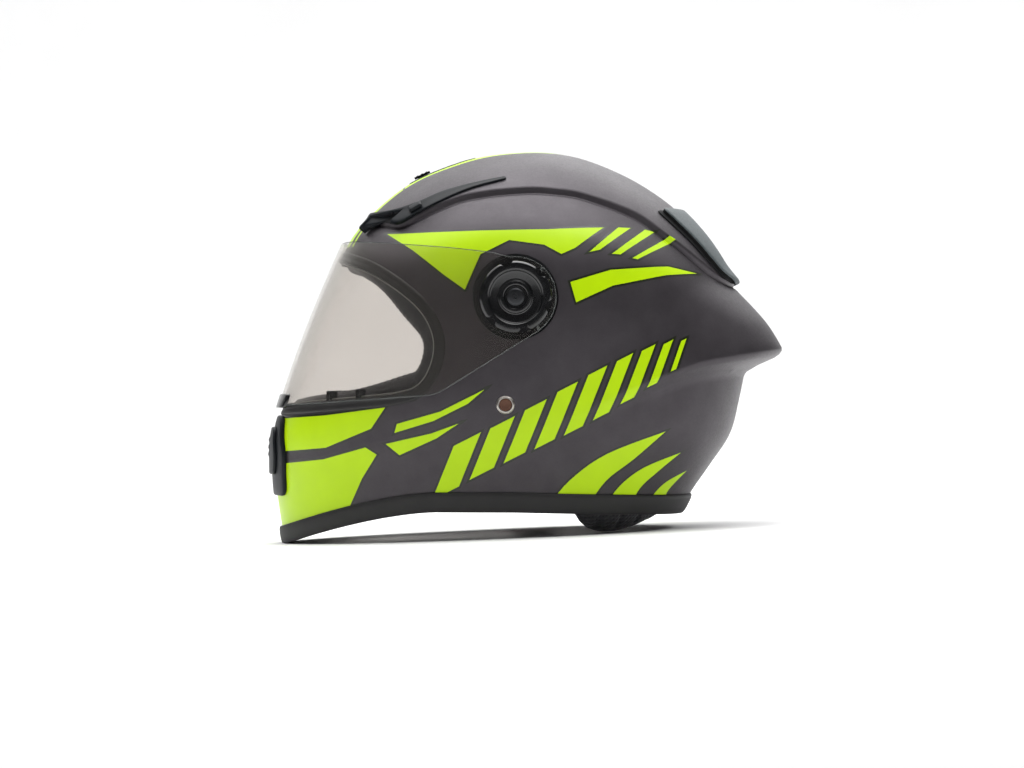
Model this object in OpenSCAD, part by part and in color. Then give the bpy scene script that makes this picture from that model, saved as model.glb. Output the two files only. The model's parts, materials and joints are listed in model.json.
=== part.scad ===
/* [Shell] */
// Length of the shell from the chin to the back, without the tail
shell_length = 310; // [265:1:360]
// Width of the shell at the visor pivots
shell_width = 242; // [205:1:285]
// Height of the shell from the crown to the lower edge at the sides
shell_height = 234; // [200:1:275]
// Wall of the shell
shell_wall = 4; // [3:0.5:5]
// Depth of the step round the raised crown
crown_step = 2.6; // [1:0.2:4]
// How far the tail stands out behind the shell
tail_reach = 25; // [10:1:32]
// How much lower the edge lies at the chin than at the sides
chin_drop = 22.8; // [15:0.5:30]

/* [Edge trim and gasket] */
// Height of the rubber trim round the lower edge
trim_height = 12.6; // [9:0.2:16]
// How far the trim stands out from the shell
trim_proud = 2.2; // [1:0.1:3.5]
// Width of the gasket's lip on the shell
gasket_lip = 4.5; // [3:0.5:7]

/* [Lining] */
// Thickness of the foam liner
eps_wall = 25; // [18:1:30]
// Thickness of the comfort liner
liner_wall = 7; // [4:0.5:10]
// Depth of a cheek pad at its crown, measured from the shell's outside
cheek_depth = 50; // [42:1:56]
// How far the neck roll hangs below the trim
roll_drop = 12.6; // [8:0.2:15]

/* [Visor] */
// Wall of the clear lens
lens_wall = 2.2; // [1.6:0.2:3]
// Space between the shell and the lens at the pivots
lens_gap = 2; // [1.6:0.2:4]
// Radius of the round end of each visor arm
arm_radius = 26; // [24:0.5:29]
// Radius of the journal that each visor hub turns on
journal_radius = 10; // [8:0.5:12]
// Running clearance on the radius of every turning fit
running_gap = 0.05; // [0.02:0.01:0.09]

/* [Knobs] */
// Diameter of a pivot knob
knob_dia = 45.6; // [42:0.5:50]
// Thickness of a pivot knob at its rim
knob_rim = 5; // [4:0.25:6]
// Radius of the post that a knob turns on
post_radius = 4; // [3.5:0.25:5]

/* [Vents] */
// How far the chin vent housing stands out
chin_vent_proud = 2.6; // [2:0.2:4]
// How far the shutter of the chin vent slides
chin_vent_travel = 5; // [3:0.5:6]
// How far the scoop of a brow vent stands out
brow_scoop_proud = 6; // [4:0.25:8]
// How far a vent slider on the brow or the crown slides
vent_travel = 6; // [4:0.5:7]
// How far the rear vent cover stands out
rear_vent_proud = 3.6; // [2.6:0.2:5]

/* [Strap] */
// Width of the chin strap's webbing
strap_width = 22; // [18:1:26]
// Thickness of the webbing
strap_wall = 1.8; // [1.4:0.1:2.4]
// Diameter of a strap rivet's head
rivet_dia = 11.9; // [10:0.1:14]

/* [Hidden] */

// Level slices of the shell from the crown down, about the visor pivots:
// height, front, back, half width, then how square the front and the back are
SLICES = [
    [97.5, 12, 12, 0, 2.00, 2.00], [95, -19, 36, 33, 2.02, 2.02],
    [88.5, -43, 57, 56, 2.05, 2.05], [77, -69, 81, 77, 2.10, 2.10],
    [61, -90, 104, 95, 2.15, 2.15], [42, -107, 122.5, 108, 2.20, 2.20],
    [20, -117.5, 137, 117, 2.25, 2.25], [-6, -127.5, 148, 121, 2.25, 2.30],
    [-35, -139.5, 152, 121, 2.25, 2.35], [-66, -151, 147, 119.5, 2.25, 2.35],
    [-88, -157, 141, 116.5, 2.20, 2.30], [-108, -158, 128, 112, 2.15, 2.25],
    [-127, -157, 115, 106.5, 2.10, 2.20], [-148, -154, 104, 100, 2.10, 2.15],
    [-168, -150, 95, 94, 2.10, 2.10]];
last_slice = len(SLICES) - 1;
// The slices are drawn for this length, width and height
kx = shell_width / 242;
ky = shell_length / 310;
kz = shell_height / 234;

// Lines on the shell in the side view: the step round the crown, and the crease under the tail
CROWN_LINE = [[-130, 52], [-93, 51], [-75, 48], [-58, 57], [-37, 66], [-16, 69.5], [3, 71],
    [14, 71.4], [39, 69], [64, 61], [83, 53], [95, 42.6], [108, 34], [121, 23], [140, 9]];
TAIL_LINE = [[-60, -110], [-4, -101.8], [13, -94.3], [41, -84.9], [63, -73.9],
    [94, -61.8], [113, -54.4], [150, -49]];
// The opening for the eyes in the side view
PORT = [[-250, 27], [-112, 27], [-92, 19.5], [-75, 8.5], [-61, -3], [-53, -14], [-48.5, -27],
    [-49.5, -40], [-55, -53], [-63, -61], [-78, -64.5], [-106, -67], [-152, -71], [-250, -71]];
// Depths of the linings under the shell's outside
eps_out = shell_wall + 0.4;
chin_eps_wall = 20;
port_round = 6;
lip_wall = 0.9;
// The outline of a cheek pad in the side view, and its middle
CHEEK = [[-92, -62], [-62, -66], [-44, -50], [-20, -34], [10, -36], [26, -58], [28, -95], [16, -122],
    [-12, -126], [-30, -134], [-55, -140.5], [-80, -138], [-100, -122], [-104, -90]];
cheek_mid = [-38, -88];

// Where things stand apart: pieces that touch, and pieces on different bodies
seat_gap = 0.15;
body_gap = 0.4;
columns = 40;

// The lens stands outside the shell by the gap at the pivots
pivot_x = side_x(0, 0);
lens_in = pivot_x + lens_gap;
lens_out = lens_in + lens_wall;
// Stack on each pivot, from the shell outwards
pocket_depth = 3;
pocket_x = pivot_x - pocket_depth;
boss_x = pocket_x - 5;
plate_wall = 3.3;
plate_radius = arm_radius - 2;
hub_radius = journal_radius + 8.5;
hub_low = lens_in - 0.4;
hub_high = lens_out + 0.5;
journal_end = hub_high + 0.6;
knob_low = journal_end + 0.3;
knob_high = knob_low + knob_rim;
knob_hub = 7.6;
screw_head = 5.6;
base_screw_place = (journal_radius + plate_radius) / 2;

// Strap places: the rivet's place in the side view, and the level where the strap crosses below the chin
rivet_y = -6.4 * ky;
rivet_z = -68.2 * kz;
rivet_seat = side_x(rivet_y, rivet_z) - 0.6;
strap_level = rim_z(0) + 4.7;
strap_gap = 1.3;
// Where the webbing turns level below the chin, and the buckle's middle on the right strap
strap_turn = side_x(rivet_y, -130 * kz) - shell_wall - 19;
short_run = 38.286;
buckle_x = short_run - strap_turn;

// The helmet stands on the trim at the chin and on the neck roll
chin_y = -152 * ky;
chin_low = rim_z(chin_y);
roll_y = 72 * ky;
roll_low = rim_z(roll_y) - roll_drop;
flat_cut = 0.5;
rest_tilt = atan((roll_low - chin_low) / (roll_y - chin_y));
rest_lift = -(chin_low * cos(rest_tilt) - chin_y * sin(rest_tilt)) - flat_cut;
// Middle of the whole helmet, from the shutter on the chin to the tail's tip
middle_y = 3.9 * ky + (tail_reach - 25) / 2;

function power(a, p) = sign(a) * pow(abs(a), p);
function smooth(a) = let(c = max(0, min(1, a))) c * c * (3 - 2 * c);
function unit(v) = v / norm(v);
function blend(a, b, f) = a + (b - a) * f;
function catmull(a, b, c, d, f) =
    0.5 * (2 * b + (c - a) * f + (2 * a - 5 * b + 4 * c - d) * f * f + (3 * b - a - 3 * c + d) * f * f * f);
// Past the crown the front and the back of a slice change places
function slice_row(k) = let(r = SLICES[min(abs(k), last_slice)])
    k >= 0 ? r : [r[0], r[2], r[1], -r[3], r[4], r[5]];
function slice(t) = let(
        i = max(0, min(floor(t), last_slice - 1)),
        r = catmull(slice_row(i - 1), slice_row(i), slice_row(i + 1), slice_row(i + 2), t - i))
    [r[0] * kz, r[1] * ky, r[2] * ky, r[3] * kx, r[4], r[5]];
// Where each slice is widest
function widest_y(z) = (12 - 4 * max(0, min(1, (97.5 - z / kz) / 100))) * ky;

// A point of the shell's base form: t counts slices from the crown, angle 0 is the back and 90 the left
function shell_point(t, angle) = let(
        r = slice(t),
        c = cos(angle),
        s = sin(angle),
        square = c < 0 ? r[4] : r[5],
        mid = widest_y(r[0]),
        reach = c < 0 ? mid - r[1] : r[2] - mid)
    [r[3] * power(s, 2 / square), mid + reach * power(c, 2 / square), r[0]];
function shell_normal(t, angle) = t < 0.05 ? [0, 0, 1] : let(
        round_way = shell_point(t, angle + 0.7) - shell_point(t, angle - 0.7),
        down_way = shell_point(min(t + 0.03, last_slice), angle) - shell_point(t - 0.03, angle))
    unit(cross(round_way, down_way));

// Slice number at a height, found by halving
function slice_at(z, low = 0, high = last_slice, steps = 14) =
    steps == 0 ? (low + high) / 2
    : let(m = (low + high) / 2)
        slice(m)[0] > z ? slice_at(z, m, high, steps - 1) : slice_at(z, low, m, steps - 1);
// Half width of the shell at a place in the side view
function side_x(y, z) = let(
        r = slice(slice_at(z)),
        mid = widest_y(z),
        square = y < mid ? r[4] : r[5],
        part = min(1, abs(y - mid) / (y < mid ? mid - r[1] : r[2] - mid)))
    r[3] * pow(1 - pow(part, square), 1 / square);

// Heights of the lines at a distance along the shell
function crown_z(y) = kz * lookup(y / ky, CROWN_LINE);
function tail_z(y) = kz * lookup(y / ky, TAIL_LINE);
function rim_z(y) = let(v = y / ky)
    kz * (-136.6 - 0.023 * max(0, v)) - chin_drop * pow(max(0, (-v - 50) / 100), 1.6);
function line_z(line, y) = line == "crown" ? crown_z(y) : line == "tail" ? tail_z(y) : rim_z(y);
// Slice number where a column crosses a line, raised by a height
function cross_at(line, rise, angle, low = 0.2, high = last_slice, steps = 13) =
    steps == 0 ? (low + high) / 2
    : let(m = (low + high) / 2, p = shell_point(m, angle))
        p[2] > line_z(line, p[1]) + rise
        ? cross_at(line, rise, angle, m, high, steps - 1) : cross_at(line, rise, angle, low, m, steps - 1);

// How far the surface lies in below the crown step, and out over the tail
step_run = 4;
step_fade = 30;
function behind(angle) = max(0, cos(angle));
function tail_lip(angle) = 8 + 7 * behind(angle);
function tail_top(angle) = 30 + 45 * behind(angle);
function tail_size(angle) = let(a = abs(angle > 180 ? 360 - angle : angle))
    tail_reach * (0.88 * pow(behind(angle), 3) + (a < 112 ? 0.12 * cos(a * 0.8) : 0));
function crown_relief(h, angle) = let(a = angle > 180 ? 360 - angle : angle)
    -crown_step * (1 - smooth((a - 140) / 25))
    * (h >= 0 ? 1 - smooth(h / step_run) : 1 - smooth(-h / step_fade));
function tail_relief(h, angle) = let(lip = tail_lip(angle), top = tail_top(angle))
    tail_size(angle) * (h <= 0 ? 0
        : h < lip ? smooth(0.5 * h / lip) * 2
        : pow(max(0, (top - h) / (top - lip)), 1.5));
function relief(p, angle) =
    crown_relief(p[2] - crown_z(p[1]), angle) + tail_relief(p[2] - tail_z(p[1]), angle);
function outside(t, angle, out = 0) = let(p = shell_point(t, angle))
    p + shell_normal(t, angle) * (relief(p, angle) + out);
function inside(t, angle, deep) = shell_point(t, angle) - shell_normal(t, angle) * deep;
function level_in(t, angle, deep) = let(n = shell_normal(t, angle))
    shell_point(t, angle) - unit([n[0], n[1], 0]) * deep;

// A closed body from points and faces, turned right side out
function fan_volume(points, face) = [for (i = [1:len(face) - 2])
    points[face[0]] * cross(points[face[i]], points[face[i + 1]])] * [for (i = [1:len(face) - 2]) 1];
module closed(points, faces) {
    size = [for (f = faces) fan_volume(points, f)] * [for (f = faces) 1];
    polyhedron(points = points, convexity = 6,
        faces = size < 0 ? faces : [for (f = faces) [for (i = [len(f) - 1:-1:0]) f[i]]]);
}
function mean(ring) = [for (r = ring) 1] * ring / len(ring);
// A closed body through rings of points, from a first point to a last point or a flat end
module loft(rings, first = undef, last = undef) {
    m = len(rings[0]);
    n = len(rings);
    points = [for (ring = rings) each ring];
    ends = concat(first == undef ? [] : [first], last == undef ? [] : [last]);
    sides = [for (i = [0:n - 2]) for (j = [0:m - 1]) let(k = (j + 1) % m)
        each [[i * m + j, i * m + k, (i + 1) * m + j], [i * m + k, (i + 1) * m + k, (i + 1) * m + j]]];
    top = first == undef ? [[for (j = [m - 1:-1:0]) j]]
        : [for (j = [0:m - 1]) [n * m, (j + 1) % m, j]];
    last_point = n * m + (first == undef ? 0 : 1);
    bottom = last == undef ? [[for (j = [0:m - 1]) (n - 1) * m + j]]
        : [for (j = [0:m - 1]) [last_point, (n - 1) * m + j, (n - 1) * m + (j + 1) % m]];
    closed(concat(points, ends), concat(sides, top, bottom));
}
module tube(rings) loft(rings, first = mean(rings[0]), last = mean(rings[len(rings) - 1]));
// One freeform body out of several
module freeform() resize([0, 0, 0]) children();
// An outline of the side view drawn out along X, of the front view along Y
module across(length = 400) rotate([90, 0, 90])
    linear_extrude(height = length, center = true) children();
module facing(from, to) translate([0, to, 0]) rotate([90, 0, 0])
    linear_extrude(height = to - from) children();
// A disc or rod along X, from one distance to another
module rod(r, from, to, y = 0, z = 0, fn = 64)
    translate([from, y, z]) rotate([0, 90, 0]) cylinder(r = r, h = to - from, $fn = fn);
module both_sides() {
    children();
    mirror([1, 0, 0]) children();
}
// From the drawing about the pivots to the helmet standing on its base
module placed() translate([0, -middle_y, rest_lift]) rotate([-rest_tilt, 0, 0]) children();

// The shell's smooth base form, grown outwards by a distance, down to the lowest slice
form_rows = 12;
function form_t(i) = last_slice * pow(i / form_rows, 1.1);
function form_ring(i, out) = [for (j = [0:columns - 1]) inside(form_t(i), j * 360 / columns, -out)];
module form(out) {
    rings = [for (i = [1:form_rows]) form_ring(i, out)];
    loft(rings, first = inside(0, 0, -out), last = mean(rings[form_rows - 1]));
}
// What lies between two distances from the shell's outside, within the shell
module layer(outer, inner) difference() {
    form(outer);
    form(inner);
}
// The same on the outside, with the crown step and the tail
module skin(outer, inner) difference() {
    body(outer);
    body(inner);
}
module port_outline(grow = 0) offset(r = grow, $fn = 12) offset(r = port_round, $fn = 12)
    offset(delta = -port_round) scale([ky, kz]) polygon(PORT);

// Height of the shell's edge over the lower edge of the trim
edge_rise = 3;
// Heights down one column of the shell's outside, closer at the lines
function outer_rows(a) = let(
        step_top = cross_at("crown", step_run, a),
        step_foot = cross_at("crown", 0, a),
        lip = cross_at("tail", tail_lip(a), a),
        lip_half = cross_at("tail", tail_lip(a) / 2, a),
        crease = cross_at("tail", 0, a),
        edge = cross_at("rim", edge_rise, a))
    concat([for (i = [1:5]) step_top * i / 5], [step_foot],
        [for (i = [1:5]) blend(step_foot, lip, i / 6)], [lip, lip_half, crease],
        [for (i = [1:3]) blend(crease, edge, i / 3)]);
// The shell as a solid body down to its lower edge, grown outwards by a distance, or a little further down
module body(out, below = 0) {
    cols = [for (j = [0:columns - 1]) let(
            a = j * 360 / columns,
            rows = concat(outer_rows(a), below > 0 ? [cross_at("rim", edge_rise - below, a)] : []))
        [for (t = rows) outside(t, a, out)]];
    rings = [for (i = [0:len(cols[0]) - 1]) [for (c = cols) c[i]]];
    loft(rings, first = outside(0.01, 0, out), last = mean(rings[len(rings) - 1]));
}

module outer_shell() color("#4A4648") placed() freeform() difference() {
    union() {
        difference() {
            body(0);
            form(-shell_wall);
        }
        both_sides() rod(arm_radius + 2, boss_x, pocket_x + 0.4, fn = 40);
    }
    across() port_outline();
    both_sides() {
        rod(arm_radius + 1.2, pocket_x, lens_in + 5, fn = 40);
        for (s = [-1, 1]) rod(2.15, boss_x - 1, lens_in, z = s * base_screw_place, fn = 16);
        rod(rivet_dia / 2 + 0.4, rivet_seat, rivet_seat + 9, rivet_y, rivet_z, fn = 24);
        rod(2.6, rivet_seat - 12, rivet_seat + 1, rivet_y, rivet_z, fn = 16);
        brow_vent_form(-0.3, 0.34, 0.16, -9, 2.5);
    }
    intersection() {
        skin(8, -crown_pocket);
        above(40 * kz, 110 * kz) crown_outline(0.3);
    }
    translate([0, 0, -118 * kz]) facing(-190 * ky, -140 * ky)
        for (s = [-1, 1]) translate([s * 14, 22]) square([18, 12], center = true);
}

// Rubber bead round the lower edge: its section as distance out from the shell and height over the rim
module lower_edge_trim() color("#1E1C1C") placed() freeform() difference() {
    section = [[-1, 1], [trim_proud * 0.8, 0.94], [trim_proud + 0.4, 0.5], [trim_proud * 0.6, 0],
        [-shell_wall - 2, 0], [-shell_wall - 3.2, 0.6], [-shell_wall + 1, 0.76]];
    rings = [for (j = [0:columns - 1]) let(a = j * 360 / columns) [for (s = section)
        let(t = cross_at("rim", s[1] * trim_height, a)) inside(t, a, -s[0])]];
    m = len(section);
    closed([for (ring = rings) each ring], [for (i = [0:columns - 1]) for (j = [0:m - 1])
        let(n = (i + 1) % columns, k = (j + 1) % m)
        each [[i * m + j, n * m + j, i * m + k], [i * m + k, n * m + j, n * m + k]]]);
    difference() {
        body(seat_gap, 0.4);
        form(-shell_wall - seat_gap);
    }
    floor_cut();
}
// Everything under the plane that the helmet stands on
module floor_cut() rotate([rest_tilt, 0, 0]) translate([-200, -250, -rest_lift - 20]) cube([400, 500, 20]);

// Rubber channel over the edge of the eye port
module eye_port_gasket() color("#222021") placed() freeform() difference() {
    intersection() {
        difference() {
            body(lip_wall);
            form(-shell_wall - 1.6);
        }
        across() difference() {
            port_outline(gasket_lip);
            port_outline(-3);
        }
    }
    intersection() {
        difference() {
            body(seat_gap);
            form(-shell_wall - seat_gap);
        }
        across() difference() {
            port_outline(30);
            port_outline(-seat_gap);
        }
    }
}

module cheek_zone() scale([ky, kz]) polygon([[-190, -27], [30, -30], [36, -60], [36, -140], [-190, -140]]);
module eps_liner() color("#E4E2DD") placed() freeform() difference() {
    layer(-eps_out, -eps_out - eps_wall);
    across() port_outline(gasket_lip + 0.6);
    across() cheek_zone();
    translate([-200, -250, -320 - 104 * kz]) cube([400, 500, 320]);
    both_sides() rod(arm_radius + 3, boss_x - 0.6, lens_in);
}
module chin_eps() color("#E4E2DD") placed() freeform() intersection() {
    layer(-eps_out, -eps_out - chin_eps_wall);
    across() difference() {
        scale([ky, kz]) polygon([[-190, -74], [-100, -73], [-111, -84], [-112, -122],
            [-116, -133], [-190, -138]]);
        port_outline(gasket_lip + 0.6);
    }
}

// Quilted lining of the crown: soft ridges run from the brow to the back
liner_out = eps_out + eps_wall + 0.4;
liner_rows = 8;
// The inner face, thinner along the channels and drawn in at the lower edge
function liner_ring(i) = [for (j = [0:columns - 1])
    let(part = i > liner_rows - 1 ? 0.45 : i > liner_rows - 2 ? 0.85 : 1)
    inside(form_t(i), j * 360 / columns, liner_out + liner_wall * part - (i > 2 && j % 4 == 0 ? 2 : 0))];
module comfort_liner() color("#2B2B2E") placed() freeform() difference() {
    loft(concat([for (i = [1:liner_rows]) form_ring(i, -liner_out)],
            [for (i = [liner_rows:-1:1]) liner_ring(i)]),
        first = inside(0, 0, liner_out), last = inside(0, 0, liner_out + liner_wall));
    across() port_outline(9);
    across() offset(delta = 3) cheek_zone();
}

// A cheek pad: an outline in the side view, crowned towards the face, with one sewn channel round it
function outline_point(list, u) = let(n = len(list), i = floor(u), f = u - i)
    catmull(list[(i + n - 1) % n], list[i % n], list[(i + 1) % n], list[(i + 2) % n], f);
cheek_spokes = 28;
function cheek_place(part, j) = let(
        e = outline_point(CHEEK, j * len(CHEEK) / cheek_spokes),
        p = blend(cheek_mid, e, part))
    [p[0] * ky, p[1] * kz];
function cheek_ring(part, deep) = [for (j = [0:cheek_spokes - 1]) let(p = cheek_place(part, j))
    [side_x(p[0], p[1]) - deep, p[0], p[1]]];
cheek_back = shell_wall + 6.4;
function cheek_crown(part) = let(
        rise = pow(1 - pow(part, 4), 0.45),
        channel = abs(part - 0.64) < 0.03 ? 3 : 0)
    cheek_back + 9 + (cheek_depth - cheek_back - 9) * rise - channel;
module cheek_pad() {
    front = [for (part = [0.25, 0.45, 0.59, 0.64, 0.69, 0.8, 0.9, 0.97, 1])
        cheek_ring(part, cheek_crown(part))];
    back = [for (part = [0.96, 0.85, 0.5]) cheek_ring(part, cheek_back + 7 * pow(part, 9))];
    mid = [cheek_mid[0] * ky, cheek_mid[1] * kz];
    mid_x = side_x(mid[0], mid[1]);
    loft(concat(front, back), first = [mid_x - cheek_crown(0), mid[0], mid[1]],
        last = [mid_x - cheek_back, mid[0], mid[1]]);
}
module cheek_pad_left() color("#2B2B2E") placed() cheek_pad();
module cheek_pad_right() color("#2B2B2E") placed() freeform() mirror([1, 0, 0]) cheek_pad();

// Padded roll under the back of the shell, drawn in by upright channels
roll_end = 74;
// How much the floor presses the roll flat
roll_press = 0.9;
roll_stations = 37;
function roll_ring(k) = let(
        a = blend(-roll_end, roll_end, k / (roll_stations - 1)),
        place = shell_point(cross_at("rim", 0, a), a),
        edge_z = rim_z(place[1]),
        drop = roll_drop * max(-0.4, 1 - pow((place[1] - roll_y) / (34 * ky), 2)),
        close = pow(max(0, 1 - pow(abs(a) / (roll_end + 1), 8)), 0.5),
        pinch = k % 3 == 0 ? 0.86 : 1,
        top_z = -110 * kz,
        low_z = edge_z - drop - roll_press,
        mid_z = (top_z + low_z) / 2,
        half = (top_z - low_z) / 2,
        deep = shell_wall + 4.2 + 11)
    [for (j = [0:11]) let(
            c = cos(j * 30),
            s = sin(j * 30),
            z = mid_z + half * power(s, 0.8) * (0.45 + 0.55 * close),
            t = slice_at(z))
        level_in(t, a, deep - 11 * power(c, 0.8) * close * (c < 0 ? pinch : 1))];
module neck_roll() color("#26262A") placed() freeform() difference() {
    tube([for (k = [0:roll_stations - 1]) roll_ring(k)]);
    floor_cut();
}

// Soft guard behind the chin, under the eye port
module breath_deflector() color("#2A2A2C") placed() freeform() intersection() {
    layer(-eps_out - chin_eps_wall - 0.3, -eps_out - chin_eps_wall - 3.3);
    facing(-160 * ky, -60 * ky) offset(r = 6, $fn = 12) offset(delta = -6)
        scale([kx, kz]) polygon([[-44, -62], [-20, -54], [20, -54], [44, -62], [36, -92], [-36, -92]]);
}

// Chin vent: a housing with a slot, a shutter that slides down over it, and a grille behind
module chin_outline() offset(r = 4, $fn = 12) offset(delta = -4) scale([kx, kz])
    polygon([[-34, -76], [34, -76], [42, -100], [36, -128], [-36, -128], [-42, -100]]);
slot_half = 5;
slot_height = 14;
module chin_vent_housing() color("#1A2228") placed() freeform() difference() {
    intersection() {
        skin(chin_vent_proud, seat_gap);
        facing(-190 * ky, -120 * ky) chin_outline();
    }
    facing(-190 * ky, -120 * ky) {
        translate([0, -101 * kz]) square([2 * slot_half, slot_height + chin_vent_travel], center = true);
        for (s = [-1, 1]) translate([s * 16, -98 * kz]) square([13, 10], center = true);
    }
}
module chin_vent_shutter() color("#1A2228") placed() freeform() union() {
    intersection() {
        skin(chin_vent_proud + 2.6, chin_vent_proud + body_gap);
        facing(-190 * ky, -120 * ky) offset(r = 3, $fn = 12) offset(delta = -3) scale([kx, kz])
            polygon([[-26, -84], [26, -84], [31, -100], [27, -114], [-27, -114], [-31, -100]]);
    }
    intersection() {
        skin(chin_vent_proud + 0.6, 0.6);
        translate([0, 0, (-101 * kz) + chin_vent_travel / 2]) facing(-190 * ky, -120 * ky)
            square([2 * slot_half - 1, slot_height - 1], center = true);
    }
}
module chin_vent_grille() color("#15181A") placed() freeform() difference() {
    intersection() {
        skin(-0.6, -1.8);
        facing(-190 * ky, -120 * ky) for (s = [-1, 1]) translate([s * 14, -96 * kz])
            square([17.4, 11.4], center = true);
    }
    facing(-190 * ky, -120 * ky) for (s = [-1, 1]) for (i = [-1:1]) for (j = [-0.5, 0.5])
        translate([s * 14 + i * 5, -96 * kz + j * 5]) square([4, 4], center = true);
}

// Brow vent: a strip on the crown step between two lines of the side view, highest at its scoop
BROW_TOP = [[-88, 55.5], [-75, 56], [-62, 61.5], [-48, 68.5], [-34, 72.5], [-20, 75.5], [-6, 78]];
BROW_LOW = [[-98, 42.5], [-86, 49], [-75, 47.5], [-62, 55], [-46, 63], [-28, 70.5], [-6, 76.4]];
function along(list, u) = let(i = min(floor(u * (len(list) - 1)), len(list) - 2), f = u * (len(list) - 1) - i)
    catmull(list[max(0, i - 1)], list[i], list[i + 1], list[min(i + 2, len(list) - 1)], f);
function side_normal(y, z) = unit(cross(
    [side_x(y + 1, z) - side_x(y - 1, z), 2, 0], [side_x(y, z + 1) - side_x(y, z - 1), 0, 2]));
function brow_point(u, v, out) = let(
        p = blend(along(BROW_LOW, u), along(BROW_TOP, u), v),
        y = p[0] * ky,
        z = p[1] * kz)
    [side_x(y, z), y, z] + side_normal(y, z) * out;
function brow_height(u) = 1.4 + (brow_scoop_proud - 1.4) * pow(1 - smooth(u / 0.55), 1.2);
// The strip from u to u, drawn in at its edges, between two heights over the shell
module brow_vent_form(u0, u1, edge, low, trim) {
    stations = 10;
    tube([for (i = [0:stations]) let(u = blend(max(0, u0), u1, i / stations), top = brow_height(u) - trim)
        [for (q = [[edge, low], [1 - edge, low], [1 - edge, top * 0.6], [1 - edge - 0.1, top],
            [edge + 0.1, top], [edge, top * 0.6]]) brow_point(u, q[0], q[1])]]);
}
module brow_vent() difference() {
    brow_vent_form(0, 1, 0, seat_gap, 0);
    brow_vent_form(0, 0.2, 0.14, -2, 1.3);
    brow_slot(0.34, 0.62);
}
module brow_slot(u0, u1) {
    stations = 6;
    tube([for (i = [0:stations]) let(u = blend(u0, u1, i / stations))
        [for (q = [[0.36, -1], [0.64, -1], [0.64, 9], [0.36, 9]]) brow_point(u, q[0], q[1])]]);
}
module brow_vent_left() color("#1A2228") placed() freeform() brow_vent();
module brow_vent_right() color("#1A2228") placed() freeform() mirror([1, 0, 0]) brow_vent();
// Thumb slider on a brow vent, with its foot in the slot
brow_slide = brow_point(0.5, 0.5, 0) - brow_point(0.36, 0.5, 0);
brow_way = unit(brow_slide);
module brow_slider() {
    p = brow_point(0.4, 0.5, 0);
    n = side_normal(p[1], p[2]);
    w = cross(n, brow_way);
    top = brow_height(0.4);
    // A block from the slot's floor to above the strip
    function corner(a, b, c) = p + brow_way * a + w * b + n * c;
    loft([for (a = [-2.6, 2.6]) [for (q = [[-1.1, 0.7], [1.1, 0.7], [1.1, top + 0.5], [-1.1, top + 0.5]])
        corner(a, q[0], q[1])]]);
    loft([for (a = [-4.5, -3.6, 3.6, 4.5]) let(low = top + 0.5, high = abs(a) > 4 ? top + 1.3 : top + 2.2)
        [for (q = [[-2.6, low], [2.6, low], [2, high], [-2, high]]) corner(a, q[0], q[1])]]);
}
module brow_slider_left() color("#22292E") placed() freeform() brow_slider();
module brow_slider_right() color("#22292E") placed() freeform() mirror([1, 0, 0]) brow_slider();

// Crown vent: a low plate on the centre line with a mouth at its front, and its slider
module crown_outline(grow = 0) offset(r = 3 + grow, $fn = 12) offset(delta = -3) scale([kx, ky])
    polygon([[-15, -70], [15, -70], [17, -52], [12, -26], [-12, -26], [-17, -52]]);
crown_pocket = 2.6;
crown_proud = 0.5;
module above(from, to) translate([0, 0, from]) linear_extrude(height = to - from) children();
module crown_vent_cover() color("#1A2228") placed() freeform() difference() {
    intersection() {
        skin(crown_proud, -crown_pocket + seat_gap);
        above(40 * kz, 110 * kz) crown_outline();
    }
    above(40 * kz, 110 * kz) translate([0, -66 * ky]) square([20, 4], center = true);
    at_crown() translate([-2.5, -4 - vent_travel / 2, -5]) cube([5, 8 + vent_travel, 8]);
}
// The middle of the slider's travel on the plate, and the plate's slope there
crown_seat = shell_point(slice_at(82.5 * kz), 180);
crown_rise = shell_point(slice_at(85.5 * kz), 180) - shell_point(slice_at(79 * kz), 180);
crown_slope = atan(crown_rise[2] / crown_rise[1]);
module at_crown() translate(crown_seat) rotate([crown_slope, 0, 0]) children();
module crown_slider() color("#22292E") placed() at_crown() translate([0, -vent_travel / 2, 0]) {
    translate([-2, -3.5, -1.4]) cube([4, 7, 2.6]);
    translate([-6, -5.5, 1.1]) cube([12, 11, 1]);
    for (i = [-1:1]) translate([-5, i * 3.2 - 0.7, 2]) cube([10, 1.4, 0.5]);
}

// Rear vent: a smoked cover over the exhaust slots, open along its lower edge
module rear_outline() offset(r = 4, $fn = 12) offset(delta = -4) scale([kx, kz])
    polygon([[-57, 57], [57, 57], [57, 46], [52, 28], [42, 14], [27, 10], [-27, 10], [-42, 14], [-52, 28],
        [-57, 46]]);
module rear_vent_cover() color("#4A5254") placed() freeform() difference() {
    intersection() {
        skin(rear_vent_proud, seat_gap);
        facing(60 * ky, 190 * ky) rear_outline();
    }
    intersection() {
        skin(rear_vent_proud - 1.6, -1);
        facing(60 * ky, 190 * ky) offset(delta = -2.4) rear_outline();
    }
    facing(60 * ky, 190 * ky) for (s = [-1, 1]) translate([s * 17, 8 * kz]) square([20, 9], center = true);
}

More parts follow.
